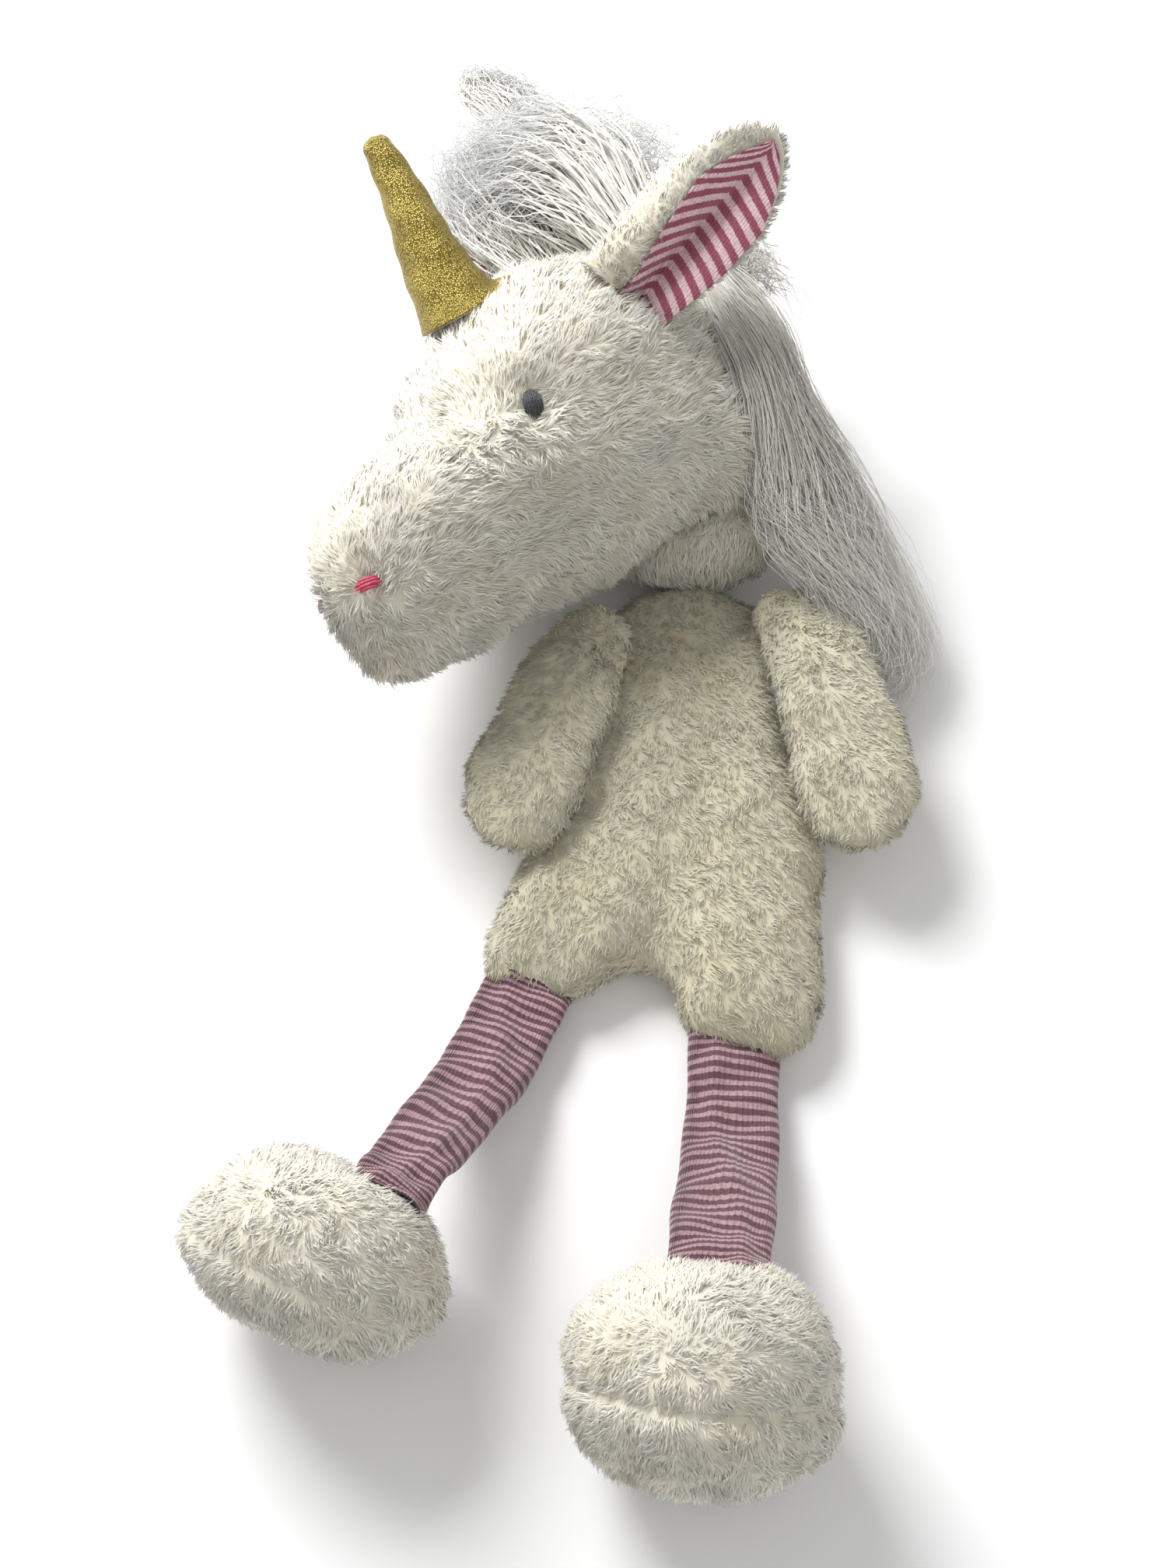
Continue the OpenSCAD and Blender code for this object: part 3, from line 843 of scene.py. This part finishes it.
def makeArm(side):
    arm = arms[side]
    place, body = arm["place"], "arm_" + side
    form = stuffedForm(body + "Form", body + "_filling")
    lumpy(form, 0.035, 0.0012, arm["seed"])
    local = moved(place.inverted(), pointsOf(form))
    wider = np.interp(local[:, 0] / local[:, 0].max(), (0, 0.35, 0.75, 1), arm["spread"])
    local[:, 1] *= 1 + np.where(local[:, 1] * arm["outer"] > 0, wider, 0.10)
    local[:, 0] *= np.where(local[:, 0] > 0, arm["reach"], 1.0)
    local[:, 2] -= 0.007 * np.clip(1 - local[:, 0] / 0.035, 0, 1)      # the shoulder lies low
    setPoints(form, moved(place, local))
    seamAlong(form, local[:, 2], 0.0025, 0.001)
    finishLobe(form, body, place, ("front", "back"), "worn", (flatPile, thinPile),
               outwards(place), bentAlong(place, "torso", body, -0.010, 0.022),
               arm["seed"])


# Feet: big stuffed balls with a sole seam.
feet = {"left": {"place": placed((7, -228, 41.5), (0, 62, 84)), "whorl": (-0.007, -0.229, 0.081),
                 "seed": 501, "crease": 0.0023, "below": 0.93},
        "right": {"place": placed((-119, -187, 37), (0, 62, 66)), "whorl": (-0.134, -0.166, 0.073),
                  "seed": 511, "crease": 0.0004, "below": 0.72}}
seamBare = 0.0011       # no pile grows nearer than this to a foot's seam

def makeFoot(side):
    foot = feet[side]
    place, body = foot["place"], "foot_" + side
    form = stuffedForm(body + "Form", body + "_filling")
    lumpy(form, 0.04, 0.0014, foot["seed"])
    local = moved(place.inverted(), pointsOf(form))
    local[:, 2] *= np.where(local[:, 2] < 0, foot["below"], 1.0)
    setPoints(form, moved(place, local))
    seamAlong(form, local[:, 2] + waves(local, 0.02, 5) * 0.0012, 0.0040, foot["crease"])
    whorl = np.array(foot["whorl"])
    dent(form, whorl, 0.012, 0.002)
    flow = lambda root, up: unit(root - whorl) - wayOf(place, 2) * 0.35
    offSeam = lambda root, up: np.abs(moved(place.inverted(), root)[:, 2]) > seamBare
    finishLobe(form, body, place, ("top", "sole"), "plush", (footPile, footPile), flow, body,
               foot["seed"], keep=offSeam)


# Wrapped cloth: a grid bent to a shape by a function of how far across and how far along.
def wrappedGrid(name, across, along, shape, closed=False):
    bpy.ops.object.select_all(action="DESELECT")
    bpy.ops.mesh.primitive_grid_add(x_subdivisions=across, y_subdivisions=along, size=1,
                                    calc_uvs=True)
    obj = bpy.context.object
    obj.name = obj.data.name = name
    obj.data.uv_layers[0].name = "UVMap"
    co = pointsOf(obj)
    setPoints(obj, shape(co[:, 0] + 0.5, co[:, 1] + 0.5))
    if closed:
        welded(obj, 0.00001)
    return obj

def throughPoints(points, t):
    # a smooth curve through points, and its direction, at t from 0 to 1
    p = np.array([points[0]] + list(points) + [points[-1]], float)
    s = np.clip(t, 0, 1) * (len(points) - 1)
    i = np.minimum(s.astype(int), len(points) - 2)
    f = (s - i)[:, None]
    a, b, c, d = p[i], p[i + 1], p[i + 2], p[i + 3]
    spot = (2 * b + (c - a) * f + (2 * a - 5 * b + 4 * c - d) * f ** 2
            + (3 * b - a - 3 * c + d) * f ** 3) / 2
    way = ((c - a) + 2 * (2 * a - 5 * b + 4 * c - d) * f + 3 * (3 * b - a - 3 * c + d) * f ** 2) / 2
    return spot, unit(way)


# Legs: slack tubes of striped rib knit.
legs = {"width": 0.0158, "thick": 0.0042, "ribDepth": 0.00020, "stripe": 0.0030, "cloth": 0.0007,
        "taper": {"left": 0.0, "right": 0.20},
        "path": {"left": [(24, -84, 11), (22, -99, 10), (19, -141, 17), (14, -180, 44),
                          (12, -200, 54)],
                 "right": [(-46, -66, 11), (-51, -79, 10), (-66, -113, 17), (-86, -152, 44),
                           (-95, -170, 53)]}}

def makeLeg(side, seed):
    path = np.array(legs["path"][side]) * millimetre
    lengths = np.linalg.norm(np.diff(path, axis=0), axis=1).sum()
    rng = np.random.default_rng(seed)
    phase = rng.random(6) * 6.28

    def shape(u, v):
        spot, way = throughPoints(path, v)
        flat = unit(np.cross(way, [0, 0, 1.0]))
        top = np.cross(flat, way)
        a = u * 2 * math.pi
        x, y = np.cos(a), np.sin(a)
        wide = legs["width"] * (1 + 0.04 * np.sin(v * 9 + phase[0])
                                + 0.02 * np.sin(v * 31 + phase[5]))
        wide = wide * (1 + 0.10 * np.exp(-((v - 0.16) / 0.05) ** 2))
        # the top is flat inside the hem, and the right leg narrows to the ankle
        wide = wide * np.interp(v, (0, 0.08, 0.16), (0.85, 0.92, 1))
        wide = wide * (1 - legs["taper"][side] * v)
        thick = legs["thick"] * (1 + 0.25 * np.sin(v * 14 + phase[1]))
        thick = thick * np.interp(v, (0, 0.09, 0.2), (0.25, 0.45, 1))
        rib = 1 + legs["ribDepth"] / legs["thick"] * np.cos(a * legWales)
        rib = np.where(np.abs(x) > 0.97, 1.0, rib)
        sag = (0.0011 * np.sin(v * 26 + x * 2.4 + phase[2])
               + 0.0006 * np.sin(v * 61 - x * 3.1 + phase[3]))
        fold = 0.0016 * np.exp(-((x - 0.35 * np.sin(v * 7 + phase[4])) / 0.22) ** 2)
        flatX = np.sign(x) * np.abs(x) ** 0.8
        return (spot + flat * (flatX * wide)[:, None]
                + top * (np.sign(y) * np.abs(y) ** 0.7 * thick * rib + sag + fold)[:, None])

    whole = wrappedGrid("leg_" + side + "Form", 176, 110, shape, closed=True)
    faceOut(whole)
    uv = mapOf(whole)
    uv[:, 1] *= lengths / (legs["stripe"] / 2)
    setMap(whole, uv)
    hem, knee, ankle = (Vector(path[i]) for i in (1, 2, 3))
    thigh, shin = (knee - hem).normalized(), (ankle - knee).normalized()
    firstCut, secondCut = hem.lerp(knee, 0.55), knee.lerp(ankle, 0.5)
    upper, lower = "upper_leg_" + side, "lower_leg_" + side
    parts = (("hem", ["leg_%s_upper"], [(firstCut, -thigh)],
              ("torso", upper, hem - thigh * 0.006, hem + thigh * 0.014)),
             ("knee", ["leg_%s_upper", "leg_%s_lower"], [(firstCut, thigh), (secondCut, -shin)],
              (upper, lower, knee - thigh * 0.014, knee + shin * 0.014)),
             ("ankle", ["leg_%s_lower"], [(secondCut, shin)],
              (lower, "foot_" + side, ankle - shin * 0.012, ankle + shin * 0.008)))
    for name, nodes, planes, ride in parts:
        piece = cutAway(whole, "leg_%s_%s" % (side, name), *planes)
        applied(piece, "SOLIDIFY", thickness=legs["cloth"], offset=-1.0)
        smoothed(piece)
        dress(piece, "jersey")
        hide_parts(*(node % side for node in nodes))
        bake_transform(piece)
    dropForm(whole)
    print("leg", side, "made")


# Horn: a bent cone of metallic knit with a loose corner at its foot.
horn = {"at": (17, 0, 59), "lean": -4, "length": 0.0705, "foot": 0.0160, "tip": 0.0050,
        "cloth": 0.0009, "inset": 0.0014, "fill": 0.9}
hornPlace = headPlace @ placed(horn["at"], (0, horn["lean"], 0))

def makeHorn():
    def shape(u, v):
        a = u * 2 * math.pi
        narrow = horn["foot"] + (horn["tip"] - horn["foot"]) * v ** 0.85
        cap = np.sqrt(np.clip(1 - ((v - 0.94) / 0.06).clip(0, 1) ** 2, 0, 1))
        r = narrow * cap + 0.0005 * np.sin(3 * a + v * 9) * (1 - v) + 0.00025 * np.sin(v * 34 + 2 * a)
        r = r - 0.0005 * np.exp(-((np.mod(a - 2.2, 2 * math.pi) - math.pi) / 0.10) ** 2) * (1 - v)
        flare = np.exp(-(v / 0.05) ** 2)
        corner = np.exp(-((np.mod(a + 0.35, 2 * math.pi) - math.pi) / 0.35) ** 2)
        r = r + flare * 0.0012 + flare * corner * 0.006
        bend = 0.005 * np.sin(v * math.pi / 2) ** 2 - 0.002 * v
        z = v * horn["length"] - 0.003 + flare * corner * 0.003
        local = np.stack([r * np.cos(a) - bend, r * np.sin(a) + bend * 0.6, z], 1)
        return moved(hornPlace, local)

    cover = wrappedGrid("horn_knit", 96, 80, shape, closed=True)
    welded(cover, 0.00015)
    faceOut(cover)
    core = copyOf(cover, "horn_stuffing")
    applied(cover, "SOLIDIFY", thickness=horn["cloth"], offset=-1.0)
    setPoints(core, pointsOf(core) - normalsOf(core) * horn["inset"])
    capped(core)
    for piece, finish, node in ((cover, "gold", "horn_cover"), (core, "filling", "horn_filling")):
        smoothed(piece)
        dress(piece, finish)
        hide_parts(node)
        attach(piece, "head")
    print("horn made")


# Ears: a plush back that rolls over one edge of a striped lining folded along its middle.
ears = {"left": {"place": placed((-8.5, 156, 105), (35, -28, 43)), "seed": 601, "fold": 0.0135},
        "right": {"place": placed((-62, 184, 34), (-58, -12, 105)), "seed": 611, "fold": 0.007}}
# the edges are distances from the fold at stations along the ear
earShape = {"length": 0.0725, "bands": 12.5, "sunk": 0.10, "crease": 0.60, "fill": 0.3,
            "thick": 0.0042, "knit": 0.0007, "wale": 0.0011, "at": (0, 0.3, 0.6, 0.8, 0.9, 0.96, 1),
            "low": (-0.0135, -0.0172, -0.0184, -0.0138, -0.0095, -0.0055, -0.0002),
            "seam": (0.0062, 0.0100, 0.0120, 0.0072, 0.0034, 0.0008, -0.0001),
            "high": (0.0215, 0.0225, 0.0200, 0.0145, 0.0098, 0.0057, 0.0002)}

def earEdge(which, v):
    return np.interp(v, earShape["at"], earShape[which])

def leaf(place, low, high, end, lift, fold, grow=0.0):
    # a leaf folded along a crease, between two of its edges
    def shape(u, v):
        along = np.clip(v, 0, 1) * (end + earShape["sunk"]) - earShape["sunk"]
        start = earEdge(low, along / end) - grow
        y = start + u * (earEdge(high, along / end) + grow - start)
        depth = fold * np.interp(along, (0, 0.1, 0.4, 0.65, 0.85, 1), (0.75, 1, 0.9, 0.5, 0.12, 0))
        crease = y + 0.0030 * along
        steep = np.where(crease > 0, 0.0052, 0.0085)
        z = lift + depth * (np.sqrt(np.tanh(crease / steep) ** 2 + 0.01) - 0.5)
        z = z - 0.009 * np.clip((y - 0.012) / 0.011, 0, 1.5) ** 2 + 0.003 * along * along
        z = z + np.minimum(along, 0) * 0.04
        return moved(place, np.stack([along * earShape["length"], y, z], 1))
    return shape

def makeEar(side):
    ear = ears[side]
    place, body = ear["place"], "ear_" + side
    ride = bentAlong(place, "head", body, -0.003, 0.020)
    out = wayOf(place, 2)
    back = wrappedGrid(body + "_plush", 40, 64,
                       leaf(place, "low", "high", 1.0, -0.0014, ear["fold"], 0.0006))
    welded(back, 0.00005)
    faceTo(back, out)
    applied(back, "SOLIDIFY", thickness=earShape["thick"], offset=-1.0)
    applied(back, "SUBSURF", levels=1, render_levels=1)

    def uncovered(root, up):
        # no pile grows under the lining
        local = moved(place.inverted(), root)
        facing = turned(place.inverted(), up)[:, 2] > 0.2
        along = local[:, 0] / earShape["length"]
        low, high = earEdge("low", along), earEdge("seam", along) - 0.0008
        within = (local[:, 1] > low) & (local[:, 1] < high) & (along < 0.95)
        return ~(facing & within)

    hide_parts(body + "_back")
    pile = growPile(back, body + "_plush_pile", earPile, outwards(place), ear["seed"], uncovered)
    smoothed(back)
    lining = wrappedGrid(body + "_lining_knit", 96, 150,
                         leaf(place, "low", "seam", 0.965, 0.0008, ear["fold"]))
    faceTo(lining, out)
    co, up = pointsOf(lining), normalsOf(lining)
    local = moved(place.inverted(), co)
    wale = np.cos(local[:, 1] * 2 * math.pi / earShape["wale"])
    setPoints(lining, co + up * (wale * 0.00010)[:, None])
    # the stripes meet in a point at the crease
    uv = mapOf(lining)
    fromCrease = uv[:, 0] - earShape["crease"]
    slant = np.sqrt(fromCrease ** 2 + 0.0008)
    uv[:, 1] += np.where(fromCrease < 0, 0.11, 0.42) * slant + 0.05 * fromCrease ** 2
    uv[:, 1] *= earShape["bands"] * 2
    setMap(lining, uv)
    welded(lining)
    applied(lining, "SOLIDIFY", thickness=earShape["knit"], offset=-1.0)
    smoothed(lining)
    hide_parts(body + "_lining")
    for piece, finish in ((back, "plush"), (pile, "plush"), (lining, "ear")):
        dress(piece, finish)
        fasten(piece, ride)
    flatMap(back)
    print(body, "made")


# Hair: long fine strands that follow a few guide locks.
thirds = (0, 2.0944, 4.1888)

def growHair(name, guides, count, look, seed):
    rng = np.random.default_rng(seed)
    guides = [np.array(g, float) * millimetre for g in guides]
    steps = look["steps"]
    t = np.linspace(0, 1, steps + 1)
    lines = np.stack([throughPoints(g, t)[0] for g in guides])      # guide, step, xyz
    pick = rng.random(count) * (len(guides) - 1)
    low = np.minimum(pick.astype(int), len(guides) - 2)
    part = (pick - low)[:, None, None]
    path = lines[low] * (1 - part) + lines[low + 1] * part
    reach = (look["short"] + (1 - look["short"]) * rng.random(count))[:, None]
    # a shorter strand stops sooner along the same way
    at = t[None, :] * reach * steps
    i = np.minimum(at.astype(int), steps - 1)
    f = (at - i)[:, :, None]
    rows = np.arange(count)[:, None]
    path = path[rows, i] * (1 - f) + path[rows, i + 1] * f
    spread = rng.normal(size=(count, 1, 3)) * look["spread"]
    grow = look["rootSpread"] + (1 - look["rootSpread"]) * t[None, :, None] ** 0.8
    path = path + spread * grow
    for size, amount in look["curls"]:
        turns = 2 * math.pi * t[None, :, None] * size * (0.8 + 0.4 * rng.random((count, 1, 1)))
        phase = rng.random((count, 1, 3)) * look["loose"] + pick[:, None, None] * 2.1
        path = path + np.sin(turns + phase + np.array([0, 1.6, 3.1])) * amount * (
            t[None, :, None] ** look["curlFrom"])
    way = unit(np.gradient(path, axis=1))
    one = unit(np.cross(way, rng.normal(size=(count, 1, 3))))
    two = np.cross(way, one)
    thick = look["width"] * (0.6 + 0.8 * rng.random((count, 1, 1)))
    thick = thick * (1 - 0.75 * t[None, :, None] ** 2)
    rings = np.stack([path + (one * math.cos(a) + two * math.sin(a)) * thick
                      for a in thirds], 2)                        # strand, step, corner, xyz
    co = rings.reshape(-1, 3)
    co[:, 2] = np.maximum(co[:, 2], aboveFloor)
    each = (steps + 1) * 3
    quads = np.array([(s * 3 + k, s * 3 + (k + 1) % 3, s * 3 + 3 + (k + 1) % 3, s * 3 + 3 + k)
                      for s in range(steps) for k in range(3)])
    ends = np.array([(2, 1, 0), (each - 3, each - 2, each - 1)])
    base = np.arange(count)[:, None, None] * each
    faces = [(base + quads).reshape(-1, 4), (base + ends).reshape(-1, 3)]
    uv = np.stack([np.repeat(rng.random(count), each),
                   np.tile(np.repeat(t, 3), count)], 1)
    return meshFrom(name, co, faces, uv)

forelock = {"steps": 12, "width": 0.00026, "spread": 0.0060, "rootSpread": 0.8, "short": 0.5,
            "curls": ((1.4, 0.0050), (3.6, 0.0022)), "loose": 2.2, "curlFrom": 0.9,
            "soft": 0.6, "up": (-0.1, 0.1, 1.0)}
forelockSweep = dict(forelock, short=0.7, width=0.00036, spread=0.0065,
                     curls=((1.0, 0.004), (3.0, 0.0015)))
forelockCurl = dict(forelock, short=0.7, width=0.00022, spread=0.0028,
                    curls=((2.2, 0.0032), (6.0, 0.0020)))
forelockGuides = [
    [(-52, 200, 62), (-68, 210, 66), (-80, 224, 64), (-88, 244, 58)],
    [(-50, 200, 62), (-66, 218, 64), (-78, 240, 60), (-80, 262, 52)],
    [(-46, 200, 60), (-62, 228, 62), (-72, 258, 56), (-70, 284, 46)],
    [(-40, 200, 58), (-52, 234, 62), (-57, 266, 56), (-54, 292, 44)],
    [(-34, 200, 58), (-40, 236, 62), (-40, 266, 56), (-36, 290, 44)],
    [(-26, 200, 60), (-26, 234, 64), (-22, 260, 58), (-16, 282, 46)],
    [(-18, 200, 62), (-12, 228, 66), (-4, 250, 60), (4, 268, 50)],
]
sweepGuides = [
    [(-20, 204, 68), (-38, 214, 78), (-58, 216, 76), (-74, 208, 66)],
    [(-16, 206, 68), (-36, 228, 80), (-58, 232, 76), (-78, 224, 66)],
    [(-12, 208, 68), (-32, 240, 78), (-54, 248, 72), (-76, 244, 62)],
    [(-10, 208, 68), (-24, 248, 76), (-42, 264, 68), (-62, 268, 56)],
]
curlGuides = [
    [(-58, 262, 52), (-70, 288, 48), (-82, 300, 44), (-80, 312, 42), (-68, 313, 40),
     (-64, 303, 42), (-72, 298, 44)],
    [(-54, 268, 52), (-60, 292, 48), (-74, 304, 44), (-72, 314, 42), (-60, 310, 40),
     (-62, 300, 42), (-70, 300, 44)],
    [(-44, 270, 50), (-50, 288, 46), (-56, 300, 42), (-50, 306, 40), (-44, 300, 40),
     (-48, 294, 42), (-54, 296, 42)],
    [(-10, 262, 52), (0, 270, 48), (8, 278, 44), (12, 274, 42), (8, 268, 42), (4, 270, 42),
     (6, 276, 42)],
]

mane = {"steps": 18, "width": 0.00017, "spread": 0.0042, "rootSpread": 0.6, "short": 0.7,
        "curls": ((1.6, 0.0062), (3.4, 0.0022)), "loose": 0.8, "curlFrom": 0.6,
        "middle": (0.050, 0.113, 0.052), "towards": (-0.45, 0.75, 0.48)}
maneGuides = [
    [(14, 190, 76), (33, 176, 74), (45, 152, 68), (56, 128, 54), (70, 108, 38), (82, 88, 27),
     (95, 66, 17), (90, 50, 12)],
    [(18, 178, 80), (35, 156, 76), (43, 134, 66), (54, 112, 50), (66, 94, 37), (78, 76, 28),
     (88, 58, 20), (84, 46, 14)],
    [(20, 166, 82), (32, 142, 76), (38, 120, 64), (47, 98, 50), (59, 80, 40), (72, 66, 30),
     (82, 52, 22), (80, 42, 16)],
    [(20, 154, 80), (29, 130, 72), (33, 110, 58), (40, 92, 48), (51, 76, 42), (63, 64, 33),
     (74, 52, 25), (74, 42, 19)],
]
napeGuides = [
    [(6, 196, 62), (20, 204, 66), (32, 212, 64), (40, 214, 58)],
    [(10, 190, 62), (26, 198, 66), (40, 202, 62), (48, 198, 56)],
    [(14, 182, 62), (30, 188, 66), (42, 188, 62), (47, 180, 56)],
]

def makeMane():
    whole = growHair("maneForm", maneGuides, 2600, mane, 71)
    nape = growHair("napeForm", napeGuides, 160, dict(forelock, spread=0.003), 72)
    middle, towards = Vector(mane["middle"]), Vector(mane["towards"]).normalized()
    upper = joined([cutAway(whole, "mane_locks", (middle, towards)), nape], "mane_locks")
    lower = cutAway(whole, "mane_lock_ends", (middle, -towards))
    dropForm(whole)
    low, below, above, high = (tuple(middle + towards * far)
                               for far in (-0.022, -0.001, 0.001, 0.024))
    for piece, node, ride in ((upper, "mane_hair", ("neck", "head", above, high)),
                              (lower, "mane_hair_ends", ("torso", "neck", low, below))):
        dress(piece, "mane")
        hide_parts(node)
        fasten(piece, ride)
    strip = copyOf(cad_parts["mane_strip"], "mane_tape")
    welded(strip)
    applied(strip, "SUBSURF", levels=2, render_levels=2)
    addMap(strip)
    smoothed(strip)
    dress(strip, "tape")
    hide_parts("mane_strip")
    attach(strip, "head")
    print("mane made")

def makeForelock():
    parts = [growHair("forelockTuft", forelockGuides, 1600, forelock, 81),
             growHair("forelockSweep", sweepGuides, 820, forelockSweep, 82),
             growHair("forelockCurl", curlGuides, 230, forelockCurl, 83)]
    tuft = joined(parts, "forelock_tuft")
    litSoftly(tuft, np.array(forelock["up"]), forelock["soft"])
    dress(tuft, "forelock")
    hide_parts("forelock_hair")
    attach(tuft, "head")
    print("forelock made")


# A plain pale floor and soft light from beyond the head.
# each light is a place, a size and a power
stage = {"floor": 14.0, "colour": (0.93, 0.93, 0.93), "sky": 0.48, "aim": (-0.03, 0.03, 0.03),
         "lights": (((-0.75, 0.95, 1.15), 0.8, 34.0), ((0.5, -0.9, 1.3), 1.6, 4.0))}

def aim(light, at, target):
    light.location = at
    light.rotation_euler = (Vector(target) - Vector(at)).to_track_quat("-Z", "Y").to_euler()

def makeStage():
    bpy.ops.object.select_all(action="DESELECT")
    bpy.ops.mesh.primitive_plane_add(size=stage["floor"], location=(0, 0, 0))
    floor = bpy.context.object
    floor.name = "floor"
    material, shader = addMaterial("paleFloor", Roughness=0.9, Specular_IOR_Level=0.1)
    r, g, b = stage["colour"]
    colour = addRamp(material, addNoise(material, 6.0, 2.0),
                     [(0.3, (r * 0.985, g * 0.985, b * 0.985)), (0.7, (r, g, b))])
    linkTo(material, colour, shader, "Base Color")
    floor.data.materials.append(material)
    for at, size, power in stage["lights"]:
        bpy.ops.object.light_add(type="AREA")
        light = bpy.context.object
        light.data.size = size
        light.data.energy = power
        aim(light, at, stage["aim"])
    world = bpy.data.worlds.new("paleStudio")
    world.use_nodes = True
    world.node_tree.nodes["Background"].inputs["Color"].default_value = (1, 1, 1, 1)
    world.node_tree.nodes["Background"].inputs["Strength"].default_value = stage["sky"]
    scene.world = world


makeStage()
makeTorso()
headForm = makeHead()
makeFace(headForm)
makeNeck()
for side in ("left", "right"):
    makeArm(side)
    makeFoot(side)
makeLeg("left", 91)
makeLeg("right", 92)
makeHorn()
for side in ("left", "right"):
    makeEar(side)
makeMane()
makeForelock()

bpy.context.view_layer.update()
